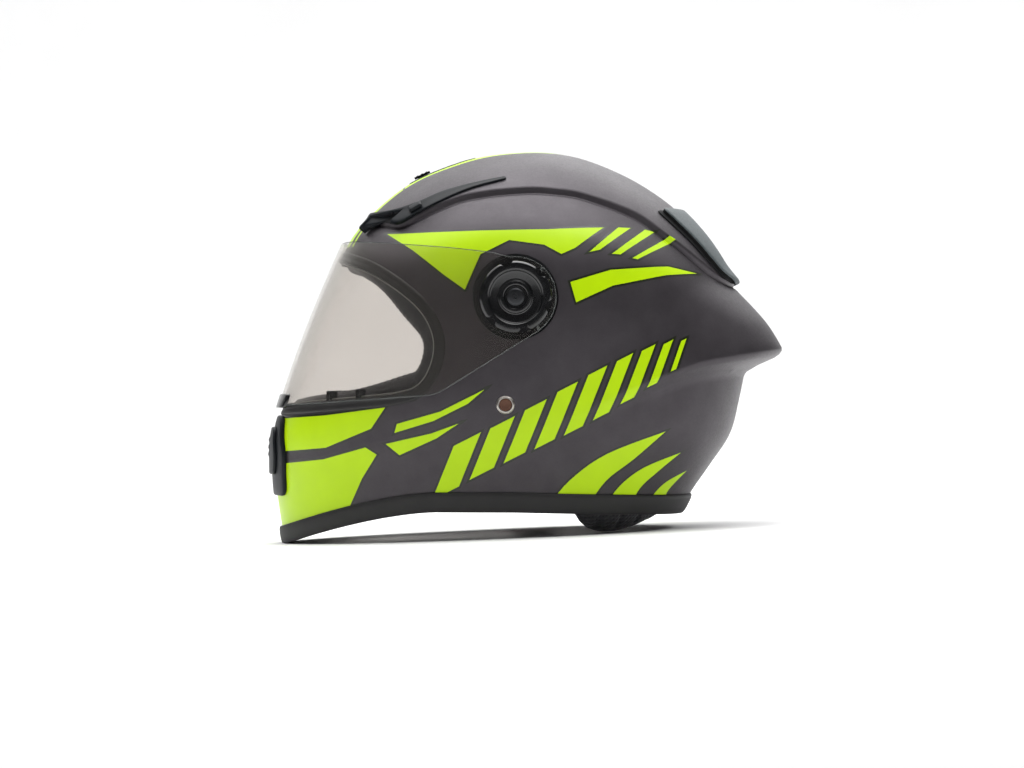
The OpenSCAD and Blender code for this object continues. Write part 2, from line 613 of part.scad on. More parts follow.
// Pivot on each side, from the shell outwards
module pivot_base() difference() {
    union() {
        rod(plate_radius, pocket_x, pocket_x + plate_wall);
        rod(journal_radius, pocket_x, journal_end);
        rod(post_radius, pocket_x, knob_high - 2);
    }
    rod(2.5, pocket_x - 1, knob_high, fn = 32);
    for (s = [-1, 1]) {
        rod(2.1, pocket_x - 1, lens_in, z = s * base_screw_place, fn = 32);
        rod(3.6, pocket_x + plate_wall - 1.7, pocket_x + plate_wall + 2, z = s * base_screw_place, fn = 32);
    }
}
module pivot_base_left() color("#1C1C1E") placed() pivot_base();
module pivot_base_right() color("#1C1C1E") placed() mirror([1, 0, 0]) pivot_base();

module pivot_knob() difference() {
    translate([knob_low, 0, 0]) rotate([0, 90, 0]) rotate_extrude($fn = 72) polygon([
        [post_radius + running_gap, 0], [knob_dia / 2 - 1, 0], [knob_dia / 2, 1],
        [knob_dia / 2, knob_rim - 1.4], [knob_dia / 2 - 1.6, knob_rim], [knob_dia / 2 - 5.4, knob_rim],
        [knob_dia / 2 - 6.8, knob_rim - 1.6],
        [knob_hub + 3.2, knob_rim - 2.2], [knob_hub + 2.6, knob_rim - 0.6], [knob_hub, knob_rim - 0.6],
        [knob_hub - 0.6, knob_rim - 1.6], [post_radius + running_gap, knob_rim - 1.6]]);
    for (i = [0:5]) rotate([i * 60 + 30, 0, 0])
        rod(3.4, knob_low + 2.2, knob_high + 1, z = knob_dia / 2 + 1, fn = 32);
}
module pivot_knob_left() color("#17181A") placed() pivot_knob();
module pivot_knob_right() color("#17181A") placed() mirror([1, 0, 0]) pivot_knob();

module pivot_screw() difference() {
    union() {
        rod(2.45, pocket_x + 1, knob_high - 1.2, fn = 32);
        translate([knob_high - 1.3, 0, 0]) rotate([0, 90, 0]) rotate_extrude($fn = 40)
            polygon([[0, 0], [screw_head, 0], [screw_head, 0.7], [screw_head - 1.2, 1.5], [0, 1.8]]);
    }
    for (a = [0, 90]) rotate([a, 0, 0]) translate([knob_high - 0.4, -3, -0.6]) cube([3, 6, 1.2]);
}
module pivot_screw_left() color("#2A2B2D") placed() pivot_screw();
module pivot_screw_right() color("#2A2B2D") placed() mirror([1, 0, 0]) pivot_screw();

module base_screws() color("#8A8C8E") placed() both_sides() for (s = [-1, 1]) difference() {
    union() {
        rod(2, boss_x + 0.5, pocket_x + plate_wall - 1, z = s * base_screw_place, fn = 32);
        rod(3.4, pocket_x + plate_wall - 1.7, pocket_x + plate_wall, z = s * base_screw_place, fn = 32);
    }
    translate([pocket_x + plate_wall - 0.8, -2.4, s * base_screw_place - 0.5]) cube([2, 4.8, 1]);
}

// The lens: level sections run round the front from arm to arm, cut to its outline in the side view
LENS_TOP = [-114.5, 37.4];
LENS_FOOT = [-156.2, -69.2];
lens_bulge = 2;
lens_back = -8;
lens_square = 2.15;
function lens_front(z) = let(u = (z / kz - LENS_TOP[1]) / (LENS_FOOT[1] - LENS_TOP[1]))
    ky * (blend(LENS_TOP[0], LENS_FOOT[0], u) - lens_bulge * 4 * u * (1 - u));
function lens_section(z, x_reach, back_off) = let(
        front = lens_front(z) + back_off,
        curve = [for (i = [-12:12]) let(a = i * 90 / 12, s = sin(a), c = cos(a))
            [x_reach * power(s, 2 / lens_square),
                lens_back - (lens_back - front) * power(c, 2 / lens_square), z]])
    concat([[-x_reach, 60, z]], curve, [[x_reach, 60, z]]);
module lens_outline() offset(r = -8, $fn = 24) offset(delta = 8) union() {
    scale([ky, kz]) polygon([[-14, 28.5], [-108, 37.2], [-200, 37.4], [-200, -69.6], [-155, -69.2],
        [-52, -62.4], [-44, -58], [14, -22], [20, -6], [6, 20]]);
    circle(r = arm_radius, $fn = 48);
}
module visor_lens() color([0.75, 0.78, 0.78, 0.35]) placed() freeform() difference() {
    intersection() {
        rings = [for (i = [0:6]) let(
                z = kz * blend(44, -76, i / 6),
                back = lens_section(z, lens_in, lens_wall))
            concat(lens_section(z, lens_out, 0), [for (k = [len(back) - 1:-1:0]) back[k]])];
        loft(rings);
        across() lens_outline();
    }
    both_sides() rod(hub_radius + 0.1, lens_in - 3, lens_out + 3, fn = 40);
}
module visor_hub() difference() {
    rod(hub_radius, hub_low, hub_high);
    rod(journal_radius + running_gap, hub_low - 1, hub_high + 1);
}
module visor_hub_left() color("#202224") placed() visor_hub();
module visor_hub_right() color("#202224") placed() mirror([1, 0, 0]) visor_hub();
// Lift tab on the lower edge of the lens, left of the middle
module visor_tab() color("#1E2022") placed() freeform() difference() {
    facing(-175 * ky, -130 * ky) translate([34 * kx, -66 * kz])
        offset(r = 1.5, $fn = 16) square([17, 6], center = true);
    difference() {
        translate([0, -200 * ky, -100 * kz]) cube([200 * kx, 190 * ky, 80 * kz]);
        tab_layer(2.6);
    }
    tab_layer(0.1);
}
module tab_layer(out) loft([for (i = [0:4]) lens_section(kz * blend(-40, -90, i / 4), lens_out + out, -out)]);

// Strap rivets, their copper cores and the washers inside
module on_rivet() translate([rivet_seat, rivet_y, rivet_z]) rotate([0, 90, 0]) children();
washer_radius = 7;
washer_x = side_x(rivet_y, rivet_z - washer_radius) - shell_wall - strap_gap - strap_wall - seat_gap;
module strap_rivet() on_rivet() difference() {
    union() {
        rotate_extrude($fn = 48) polygon([[0, 0], [rivet_dia / 2, 0], [rivet_dia / 2, 1],
            [rivet_dia / 2 - 1.2, 2.2], [0, 2.2]]);
        translate([0, 0, washer_x - 2 - rivet_seat])
            cylinder(r = 2.45, h = rivet_seat - washer_x + 2.1, $fn = 32);
    }
    translate([0, 0, 1.2]) cylinder(r = rivet_dia / 2 - 1.8, h = 3, $fn = 40);
}
module strap_rivet_left() color("#C9C9C6") placed() strap_rivet();
module strap_rivet_right() color("#C9C9C6") placed() mirror([1, 0, 0]) strap_rivet();
module rivet_cores() color("#7A5238") placed() both_sides() on_rivet()
    translate([0, 0, 1.2]) rotate_extrude($fn = 40) polygon([[0, 0], [rivet_dia / 2 - 1.85, 0],
        [rivet_dia / 2 - 1.85, 0.3], [rivet_dia / 2 - 3, 0.7], [0, 0.7]]);
module strap_washers() color("#8A8C8E") placed() both_sides() difference() {
    rod(washer_radius, washer_x - 1.2, washer_x, rivet_y, rivet_z, fn = 40);
    rod(2.5, washer_x - 3, washer_x + 3, rivet_y, rivet_z, fn = 32);
}

// Webbing as a path in the front view with a thickness, drawn out along its width
function shell_in(z) = side_x(rivet_y, z) - shell_wall;
function strap_drop() = concat(
    [for (z = [-58, -68, -80, -92, -104, -113]) [shell_in(z * kz) - strap_wall / 2 - strap_gap, z * kz]],
    [[shell_in(-120 * kz) - 3.6, -120 * kz], [shell_in(-126 * kz) - 6.4, -125.5 * kz],
        [strap_turn + 8, strap_level + 0.6], [strap_turn, strap_level]]);
function side_of(path, i) = let(
        a = path[max(0, i - 1)],
        b = path[min(len(path) - 1, i + 1)],
        d = unit(b - a))
    [-d[1], d[0]];
module ribbon(path, wall, width, y = rivet_y) translate([0, y + width / 2, 0]) rotate([90, 0, 0])
    linear_extrude(height = width) polygon(concat(
        [for (i = [0:len(path) - 1]) path[i] + side_of(path, i) * wall / 2],
        [for (i = [len(path) - 1:-1:0]) path[i] - side_of(path, i) * wall / 2]));
tongue_x = buckle_x + 26;
module strap_left() color("#1F1F21") placed() difference() {
    ribbon(concat(strap_drop(), [[strap_turn - 22, strap_level], [tongue_x, strap_level]]),
        strap_wall, strap_width);
    rod(2.6, washer_x - 3, rivet_seat + 3, rivet_y, rivet_z, fn = 32);
}
module strap_right() color("#1F1F21") placed() mirror([1, 0, 0]) difference() {
    ribbon(concat(strap_drop(), [[-buckle_x + buckle_long / 2 - 6, strap_level]]), strap_wall, strap_width);
    rod(2.6, washer_x - 3, rivet_seat + 3, rivet_y, rivet_z, fn = 32);
}
// Padded sleeve round the webbing, crowned above and below it
module sleeve(x0, x1, level) {
    rows = 8;
    gap = strap_wall / 2 + 0.3;
    section = [[-1, 0], [1, 0], [0.92, 0.7], [0.4, 1], [-0.4, 1], [-0.92, 0.7]];
    function height(i) = 2.2 * pow(1 - pow(2 * i / rows - 1, 6), 0.5) + 0.4;
    module half(side) tube([for (i = [0:rows]) [for (q = section)
        [blend(x0, x1, i / rows), rivet_y + q[0] * (strap_width / 2 + 2),
            level + side * (gap + q[1] * height(i))]]]);
    half(1);
    half(-1);
}
module strap_sleeve_left() color("#29292C") placed() freeform()
    sleeve(tongue_x + 40, strap_turn - 16.3, strap_level);
module strap_sleeve_right() color("#29292C") placed() freeform() mirror([1, 0, 0])
    sleeve(-buckle_x + buckle_long / 2 + 1, strap_turn - 3.3, strap_level);

// Ratchet buckle: the body rides on the right strap, the tongue on the left one, and a lever frees it
buckle_long = 36;
buckle_wide = strap_width + 4;
pin_x = buckle_x + 6;
pin_z = strap_level - 3.4;
module at_buckle() translate([buckle_x, rivet_y, strap_level]) children();
module buckle_body() color("#1B1C1E") placed() difference() {
    at_buckle() translate([-buckle_long / 2, -buckle_wide / 2, -4.6]) cube([buckle_long, buckle_wide, 8.4]);
    // Way of the tongue
    at_buckle() translate([-10, -strap_width / 2 + 1.6, -1.3]) cube([buckle_long, strap_width - 3.2, 2.6]);
    // Slot of the right strap
    at_buckle() translate([-buckle_long / 2 - 1, -strap_width / 2 - 0.3, -1.5])
        cube([7.5, strap_width + 0.6, 3]);
    // Well of the lever
    at_buckle() translate([-14, -7.5, -6]) cube([buckle_long, 15, 4.9]);
    translate([pin_x, rivet_y + 11, pin_z]) rotate([90, 0, 0]) cylinder(r = 1.25, h = 22, $fn = 32);
}
module buckle_pin() color("#9A9C9E") placed() translate([pin_x, rivet_y + 10.8, pin_z]) rotate([90, 0, 0])
    cylinder(r = 1.25 - 0.01, h = 21.6, $fn = 32);
module buckle_lever() color("#A3231F") placed() difference() {
    union() {
        translate([pin_x - 4, rivet_y - 7, pin_z - 2]) cube([19, 14, 2.1]);
        translate([pin_x, rivet_y + 7, pin_z]) rotate([90, 0, 0]) cylinder(r = 2, h = 14, $fn = 32);
    }
    translate([pin_x, rivet_y + 8, pin_z]) rotate([90, 0, 0])
        cylinder(r = 1.24 + running_gap, h = 16, $fn = 32);
}
module buckle_tongue() color("#2A2B2D") placed() difference() {
    union() {
        at_buckle() translate([-8, -strap_width / 2 + 2, -1])
            cube([tongue_x - buckle_x + 6, strap_width - 4, 2]);
        at_buckle() translate([tongue_x - buckle_x - 4, -strap_width / 2, -2.6])
            cube([12, strap_width, 5.2]);
        for (i = [0:6]) at_buckle() translate([-6 + i * 3, -5, 0.8]) cube([1.2, 10, 0.4]);
    }
    // Seat of the webbing
    at_buckle() translate([tongue_x - buckle_x - 0.4, -strap_width / 2 - 1, -1.3])
        cube([12, strap_width + 2, strap_wall + 0.5]);
}

outer_shell();
lower_edge_trim();
eye_port_gasket();
eps_liner();
chin_eps();
comfort_liner();
cheek_pad_left();
cheek_pad_right();
neck_roll();
breath_deflector();
chin_vent_housing();
chin_vent_shutter();
chin_vent_grille();
brow_vent_left();
brow_vent_right();
brow_slider_left();
brow_slider_right();
crown_vent_cover();
crown_slider();
rear_vent_cover();
pivot_base_left();
pivot_base_right();
pivot_knob_left();
pivot_knob_right();
pivot_screw_left();
pivot_screw_right();
base_screws();
visor_lens();
visor_hub_left();
visor_hub_right();
visor_tab();
strap_rivet_left();
strap_rivet_right();
rivet_cores();
strap_washers();
strap_left();
strap_right();
strap_sleeve_left();
strap_sleeve_right();
buckle_body();
buckle_lever();
buckle_pin();
buckle_tongue();
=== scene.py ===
"""Looks of a full face helmet: painted shell, clear visor, vents, padded lining and chin strap."""
import json
import math

import bmesh
import bpy
import numpy as np
from mathutils import Matrix, Vector, geometry, kdtree

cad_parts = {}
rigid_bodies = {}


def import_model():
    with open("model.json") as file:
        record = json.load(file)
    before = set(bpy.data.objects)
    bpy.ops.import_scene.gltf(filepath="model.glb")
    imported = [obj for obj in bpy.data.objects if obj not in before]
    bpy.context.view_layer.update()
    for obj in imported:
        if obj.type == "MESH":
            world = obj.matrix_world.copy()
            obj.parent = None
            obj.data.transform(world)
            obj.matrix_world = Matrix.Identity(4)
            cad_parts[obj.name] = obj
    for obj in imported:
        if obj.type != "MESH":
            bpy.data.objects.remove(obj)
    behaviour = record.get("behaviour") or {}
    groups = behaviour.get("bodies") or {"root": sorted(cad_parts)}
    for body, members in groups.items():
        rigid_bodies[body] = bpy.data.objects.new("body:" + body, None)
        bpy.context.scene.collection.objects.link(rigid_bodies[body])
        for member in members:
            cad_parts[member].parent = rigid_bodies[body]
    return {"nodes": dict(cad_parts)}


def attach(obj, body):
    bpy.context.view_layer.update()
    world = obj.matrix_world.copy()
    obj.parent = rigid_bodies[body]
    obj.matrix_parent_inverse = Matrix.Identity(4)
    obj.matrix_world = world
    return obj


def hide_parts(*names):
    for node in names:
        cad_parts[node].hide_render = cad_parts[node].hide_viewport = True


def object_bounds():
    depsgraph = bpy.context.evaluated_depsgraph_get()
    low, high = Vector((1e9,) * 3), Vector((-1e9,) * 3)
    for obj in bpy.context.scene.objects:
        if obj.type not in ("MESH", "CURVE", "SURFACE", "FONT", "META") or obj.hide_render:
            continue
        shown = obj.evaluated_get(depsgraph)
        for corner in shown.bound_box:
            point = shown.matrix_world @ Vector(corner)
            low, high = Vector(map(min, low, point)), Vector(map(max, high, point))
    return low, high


for leftover in list(bpy.data.objects):
    bpy.data.objects.remove(leftover)
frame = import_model()
cad_box = [list(corner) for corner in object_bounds()]

# Sizes of the helmet in millimetres, as the CAD has them
MM = 0.001
SHELL_WALL = 4.0
CROWN_STEP = 2.6
TAIL_REACH = 25.0
CHIN_DROP = 22.8
TRIM_HEIGHT = 12.6
ROLL_DROP = 12.6
LENS_WALL = 2.2
LENS_GAP = 2.0
ARM_RADIUS = 26.0
PIVOT_X = 120.384
KNOB_RADIUS = 22.8
KNOB_RIM = 5.0
EPS_OUT = 4.4
EPS_WALL = 25.0
CHIN_EPS_WALL = 20.0
CHEEK_DEPTH = 50.0
STRAP_WIDTH = 22.0
STRAP_WALL = 1.8
RIVET_RADIUS = 5.95

# Level slices of the shell from the crown down: height, front, back, half width, squareness front and back
SLICES = np.array([
    [97.5, 12, 12, 0, 2.00, 2.00], [95, -19, 36, 33, 2.02, 2.02],
    [88.5, -43, 57, 56, 2.05, 2.05], [77, -69, 81, 77, 2.10, 2.10],
    [61, -90, 104, 95, 2.15, 2.15], [42, -107, 122.5, 108, 2.20, 2.20],
    [20, -117.5, 137, 117, 2.25, 2.25], [-6, -127.5, 148, 121, 2.25, 2.30],
    [-35, -139.5, 152, 121, 2.25, 2.35], [-66, -151, 147, 119.5, 2.25, 2.35],
    [-88, -157, 141, 116.5, 2.20, 2.30], [-108, -158, 128, 112, 2.15, 2.25],
    [-127, -157, 115, 106.5, 2.10, 2.20], [-148, -154, 104, 100, 2.10, 2.15],
    [-168, -150, 95, 94, 2.10, 2.10]])
LAST = len(SLICES) - 1
OVER_CROWN = SLICES[1, [0, 2, 1, 3, 4, 5]] * [1, 1, 1, -1, 1, 1]
KNOTS = np.vstack([OVER_CROWN, SLICES, SLICES[-1]])
CROWN_LINE = np.array([[-130, 52], [-93, 51], [-75, 48], [-58, 57], [-37, 66], [-16, 69.5], [3, 71],
                       [14, 71.4], [39, 69], [64, 61], [83, 53], [95, 42.6], [108, 34],
                       [121, 23], [140, 9]])
TAIL_LINE = np.array([[-60, -110], [-4, -101.8], [13, -94.3], [41, -84.9], [63, -73.9],
                      [94, -61.8], [113, -54.4], [150, -49]])
PORT = [(-250, 27), (-112, 27), (-92, 19.5), (-75, 8.5), (-61, -3), (-53, -14), (-48.5, -27),
        (-49.5, -40), (-55, -53), (-63, -61), (-78, -64.5), (-106, -67), (-152, -71), (-250, -71)]


def eased(line, spread=5.0):
    """The line through these points as a table, with its corners eased."""
    along = np.arange(-270.0, 270.0)
    level = np.interp(along, line[:, 0], line[:, 1])
    reach = np.arange(-20, 21)
    weight = np.exp(-0.5 * (reach / spread) ** 2)
    padded = np.pad(level, 20, mode="edge")
    return along, np.convolve(padded, weight / weight.sum(), mode="valid")


CROWN_TABLE = eased(CROWN_LINE)
TAIL_TABLE = eased(TAIL_LINE)


def crown_z(y):
    return np.interp(y, *CROWN_TABLE)


def tail_z(y):
    return np.interp(y, *TAIL_TABLE)


def rim_z(y):
    y = np.asarray(y, float)
    drop = np.maximum(0, (-y - 50) / 100) ** 1.6
    return -136.6 - 0.023 * np.maximum(0, y) - CHIN_DROP * drop


# The helmet stands tilted a little, on the trim at the chin and on the neck roll
CHIN_Y = -152.0
ROLL_Y = 72.0
TILT = math.atan((rim_z(ROLL_Y) - ROLL_DROP - rim_z(CHIN_Y)) / (ROLL_Y - CHIN_Y))
LIFT = -(rim_z(CHIN_Y) * math.cos(TILT) - CHIN_Y * math.sin(TILT)) - 0.5
MIDDLE_Y = 3.9
TURN = np.array([[1, 0, 0], [0, math.cos(TILT), math.sin(TILT)], [0, -math.sin(TILT), math.cos(TILT)]])


def placed(points):
    """From the drawing about the visor pivots, in millimetres, to the standing helmet in metres."""
    return (np.asarray(points, float) @ TURN.T + [0, -MIDDLE_Y, LIFT]) * MM


def smooth_step(a):
    a = np.clip(a, 0, 1)
    return a * a * (3 - 2 * a)


def power(a, p):
    return np.sign(a) * np.abs(a) ** p


def unit(v):
    return v / np.maximum(np.linalg.norm(v, axis=-1, keepdims=True), 1e-12)


def slice_row(t):
    t = np.asarray(t, float)
    i = np.clip(np.floor(t).astype(int), 0, LAST - 1)
    f = (t - i)[..., None]
    a, b, c, d = KNOTS[i], KNOTS[i + 1], KNOTS[i + 2], KNOTS[i + 3]
    curve = (2 * a - 5 * b + 4 * c - d) * f + (3 * b - a - 3 * c + d) * f * f
    return 0.5 * (2 * b + (c - a) * f + curve * f)


def widest_y(z):
    return 12 - 4 * np.clip((97.5 - z) / 100, 0, 1)


def shell_point(t, angle):
    """A point of the shell's base form: t counts slices from the crown, angle 0 is back and 90 left."""
    r = slice_row(t)
    c = np.cos(np.radians(angle))
    s = np.sin(np.radians(angle))
    front = c < 0
    square = np.where(front, r[..., 4], r[..., 5])
    mid = widest_y(r[..., 0])
    reach = np.where(front, mid - r[..., 1], r[..., 2] - mid)
    x = r[..., 3] * power(s, 2 / square)
    y = mid + reach * power(c, 2 / square)
    return np.stack(np.broadcast_arrays(x, y, r[..., 0]), -1)


def way_out(points, t, angle):
    """Directions square to a surface that a function of slice and angle makes."""
    round_way = points(t, angle + 0.7) - points(t, angle - 0.7)
    down_way = points(np.minimum(t + 0.03, LAST), angle) - points(np.maximum(t - 0.03, 0.01), angle)
    out = unit(np.cross(round_way, down_way))
    out[np.asarray(t) < 0.06] = [0, 0, 1]
    return out


def crown_relief(h, angle):
    a = np.where(angle > 180, 360 - angle, angle)
    foot = h + 1.4
    fade = np.where(foot >= 0, 1 - smooth_step(foot / 1.9), 1 - smooth_step(-foot / 30))
    groove = 0.25 * np.exp(-((foot + 0.5) / 0.7) ** 2)
    return -CROWN_STEP * (1 - smooth_step((a - 140) / 25)) * (fade + groove)


def tail_sizes(angle):
    a = np.abs(np.where(angle > 180, 360 - angle, angle))
    back = np.maximum(0, np.cos(np.radians(a)))
    size = TAIL_REACH * (0.88 * back ** 3 + np.where(a < 112, 0.12 * np.cos(np.radians(a * 0.8)), 0))
    return size, 8 + 7 * back, 30 + 45 * back


def tail_relief(h, angle):
    size, lip, top = tail_sizes(angle)

    def rise(g):
        above = np.maximum(0, (top - g) / (top - lip)) ** 1.5
        return np.where(g <= 0, 0, np.where(g < lip, smooth_step(0.5 * g / lip) * 2, above))

    # The edge of the tail is rounded, as a moulding is
    return size * sum(rise(h + d) for d in (-2.4, -1.2, 0, 1.2, 2.4)) / 5


def outside(t, angle):
    p = shell_point(t, angle)
    relief = crown_relief(p[..., 2] - crown_z(p[..., 1]), angle)
    relief = relief + tail_relief(p[..., 2] - tail_z(p[..., 1]), angle)
    return p + way_out(shell_point, t, angle) * relief[..., None]


def inside(t, angle, deep):
    return shell_point(t, angle) - way_out(shell_point, t, angle) * np.asarray(deep)[..., None]


def halved(low, high, is_high, steps=26):
    """Where a rising question turns true, found by halving."""
    for _ in range(steps):
        mid = (low + high) / 2
        yes = is_high(mid)
        low, high = np.where(yes, low, mid), np.where(yes, mid, high)
    return (low + high) / 2


def slice_at(z):
    z = np.asarray(z, float)
    return halved(np.zeros_like(z), np.full_like(z, LAST), lambda t: slice_row(t)[..., 0] <= z)


def cross_at(line_z, rise, angle):
    """Slice number where the surface at an angle crosses a line of the side view."""
    angle = np.asarray(angle, float)

    def below(t):
        p = shell_point(t, angle)
        return p[..., 2] <= line_z(p[..., 1]) + rise

    return halved(np.full_like(angle, 0.2), np.full_like(angle, LAST), below)


def from_side(y, z):
    """Slice and angle on the left half of the shell for a place in the side view."""
    y = np.asarray(y, float)
    t = slice_at(z)
    r = slice_row(t)
    mid = widest_y(r[..., 0])
    front = y < mid
    reach = np.where(front, mid - r[..., 1], r[..., 2] - mid)
    square = np.where(front, r[..., 4], r[..., 5])
    c = np.clip(np.abs(y - mid) / reach, 0, 1) ** (square / 2)
    return t, np.degrees(np.arccos(np.where(front, -c, c)))


def from_end(x, z, front):
    """Slice and angle for a place in the front or back view."""
    t = slice_at(z)
    r = slice_row(t)
    s = np.clip(np.abs(x) / np.maximum(r[..., 3], 1e-6), 0, 1) ** (r[..., 4 if front else 5] / 2)
    a = np.degrees(np.arcsin(s))
    a = 180 - a if front else a
    return t, np.where(np.asarray(x) < 0, 360 - a, a)


def front_find(x, z):
    return from_end(x, z, True)


def back_find(x, z):
    return from_end(x, z, False)


def from_above(x, y):
    """Slice and angle for a place in the top view."""
    x, y = np.broadcast_arrays(np.asarray(x, float), np.asarray(y, float))

    def parts(t):
        r = slice_row(t)
        mid = widest_y(r[..., 0])
        front = y < mid
        reach = np.where(front, mid - r[..., 1], r[..., 2] - mid)
        square = np.where(front, r[..., 4], r[..., 5])
        return (np.abs(x) / np.maximum(r[..., 3], 1e-6)) ** square, \
            (np.abs(y - mid) / np.maximum(reach, 1e-6)) ** square, front

    t = halved(np.full(x.shape, 0.05), np.full(x.shape, 8.0), lambda t: sum(parts(t)[:2]) <= 1)
    across, along, front = parts(t)
    a = np.degrees(np.arctan2(np.sqrt(across), np.where(front, -1, 1) * np.sqrt(along)))
    return t, np.where(x < 0, 360 - a, a)


def side_x(y, z):
    return shell_point(*from_side(y, z))[..., 0]


# Outlines

# Rows of nearly equal triangles stand this share of their side apart
ROW_SHARE = 0.87


def dense(points, step):
    """The same closed outline with more points on its straight runs."""
    points = np.asarray(points, float)
    out = []
    for a, b in zip(points, np.roll(points, -1, axis=0)):
        count = max(1, int(math.ceil(np.linalg.norm(b - a) / step)))
        out.extend(a + (b - a) * k / count for k in range(count))
    return np.array(out)


def rounded(points, radius, steps=5, closed=True):
    """The same outline with its corners turned into curves."""
    points = [np.asarray(p, float) for p in points]
    out = []
    for i, p in enumerate(points):
        if not closed and i in (0, len(points) - 1):
            out.append(p)
            continue
        before, after = points[i - 1] - p, points[(i + 1) % len(points)] - p
        reach = min(radius, 0.48 * np.linalg.norm(before), 0.48 * np.linalg.norm(after))
        a = p + unit(before) * reach
        b = p + unit(after) * reach
        for k in range(steps + 1):
            f = k / steps
            out.append((1 - f) ** 2 * a + 2 * f * (1 - f) * p + f * f * b)
    return np.array(out)


def curve_between(a, b, c, d, f):
    """The place at a share of the way from b to c, on the smooth curve that also runs by a and d."""
    return 0.5 * (2 * b + (c - a) * f + (2 * a - 5 * b + 4 * c - d) * f * f
                  + (3 * b - a - 3 * c + d) * f ** 3)


def flowing(points, per=6, closed=False):
    """A smooth curve through points."""
    p = np.asarray(points, float)
    count = len(p)
    out = []
    for i in range(count if closed else count - 1):
        ids = [(i + k) % count if closed else min(max(i + k, 0), count - 1) for k in (-1, 0, 1, 2)]
        a, b, c, d = p[ids]
        out.extend(curve_between(a, b, c, d, f) for f in np.arange(per) / per)
    if not closed:
        out.append(p[-1])
    return np.array(out)


def turning(points):
    """Area of an outline, positive when it runs against the clock."""
    x, y = points[:, 0], points[:, 1]
    return 0.5 * np.sum(x * np.roll(y, -1) - y * np.roll(x, -1))


def grown(points, by):
    """The outline moved outwards, or inwards when by is negative."""
    points = np.asarray(points, float)
    way = 1 if turning(points) > 0 else -1
    ahead = unit(np.roll(points, -1, axis=0) - points)
    behind = np.roll(ahead, 1, axis=0)
    side_a = np.stack([behind[:, 1], -behind[:, 0]], -1) * way
    side_b = np.stack([ahead[:, 1], -ahead[:, 0]], -1) * way
    corner = unit(side_a + side_b)
    stretch = 1 / np.clip(np.sum(corner * side_b, -1), 0.4, 1)
    return points + corner * (by * stretch)[:, None]


def edge_distance(points, loops):
    """Distance of each point from the nearest of some closed outlines."""
    best = np.full(len(points), 1e9)
    for loop in loops:
        a = loop
        ab = np.roll(loop, -1, axis=0) - a
        length = np.maximum(np.sum(ab * ab, -1), 1e-12)
        for k in range(0, len(points), 2000):
            p = points[k:k + 2000, None, :]
            f = np.clip(np.sum((p - a) * ab, -1) / length, 0, 1)
            gap = np.linalg.norm(p - (a + ab * f[..., None]), axis=-1).min(1)
            best[k:k + 2000] = np.minimum(best[k:k + 2000], gap)
    return best


def encloses(loop, points):
    """Which points lie inside a closed outline; parts of it that run the wrong way round don't count."""
    turns = np.zeros(len(points), int)
    px, py = points[:, 0], points[:, 1]
    for a, b in zip(loop, np.roll(loop, -1, axis=0)):
        side = (b[0] - a[0]) * (py - a[1]) - (px - a[0]) * (b[1] - a[1])
        turns += (a[1] <= py) & (b[1] > py) & (side > 0)
        turns -= (a[1] > py) & (b[1] <= py) & (side < 0)
    return turns * (1 if turning(loop) > 0 else -1) > 0


def in_plane(places):
    """The places of a flat drawing as points in space."""
    return np.c_[places, np.zeros(len(places))]


def cut_sheet(free, loops, lines, position, near):
    """Triangles of a plane through free points, closed loops and open lines, and their middles."""
    drawn = [np.vstack([loop, loop[:1]]) for loop in loops] + list(lines)
    fixed = np.vstack(drawn)
    tree = kdtree.KDTree(len(fixed))
    for i, p in enumerate(position(fixed)):
        tree.insert(p, i)
    tree.balance()
    if len(free):
        free = free[[tree.find(p)[2] > near for p in position(free)]]
    coords = np.vstack([fixed, free]) if len(free) else fixed
    edges = []
    start = 0
    for line in drawn:
        edges.extend((start + k, start + k + 1) for k in range(len(line) - 1))
        start += len(line)
    made = geometry.delaunay_2d_cdt([Vector(p) for p in coords], edges, [], 0, 1e-4, True)
    flat = np.array([tuple(v) for v in made[0]])
    faces = np.array([tuple(f) for f in made[2]])
    return flat, faces, flat[faces].mean(1)


def trimmed(flat, faces, keep):
    """The kept triangles with only the points that they use."""
    faces = faces[keep]
    used = np.unique(faces)
    index = np.full(len(flat), -1)
    index[used] = np.arange(len(used))
    return flat[used], index[faces]


def facing_out(points, faces, want):
    """Faces turned so that they look along the wanted directions of their first corners."""
    f = np.array(faces)
    normal = np.cross(points[f[:, 1]] - points[f[:, 0]], points[f[:, 2]] - points[f[:, 0]])
    wrong = np.sum(normal * want[f[:, 0]], -1) < 0
    f[wrong] = f[wrong][:, ::-1]
    return f


def with_back(top, low, faces):
    """A closed body between a sheet of triangles and the same sheet moved inwards."""
    count = len(top)
    seen = {}
    for a, b, c in faces:
        for e in ((a, b), (b, c), (c, a)):
            seen[e] = True
    walls = [(b, a, a + count, b + count) for (a, b) in seen if (b, a) not in seen]
    back = [(c + count, b + count, a + count) for a, b, c in faces]
    return np.vstack([top, low]), [tuple(map(int, f)) for f in faces] + back + walls


def with_mirror(values, seam):
    """Points or directions of the left half, then their mirror images; those on the seam are shared."""
    values = np.where(seam[:, None], values * [0, 1, 1], values)
    return np.vstack([values, values[~seam] * [-1, 1, 1]])


def mirror_faces(faces, seam):
    index = np.arange(len(seam))
    index[~seam] = len(seam) + np.arange(int((~seam).sum()))
    return np.vstack([faces, index[faces][:, ::-1]])


# Pieces

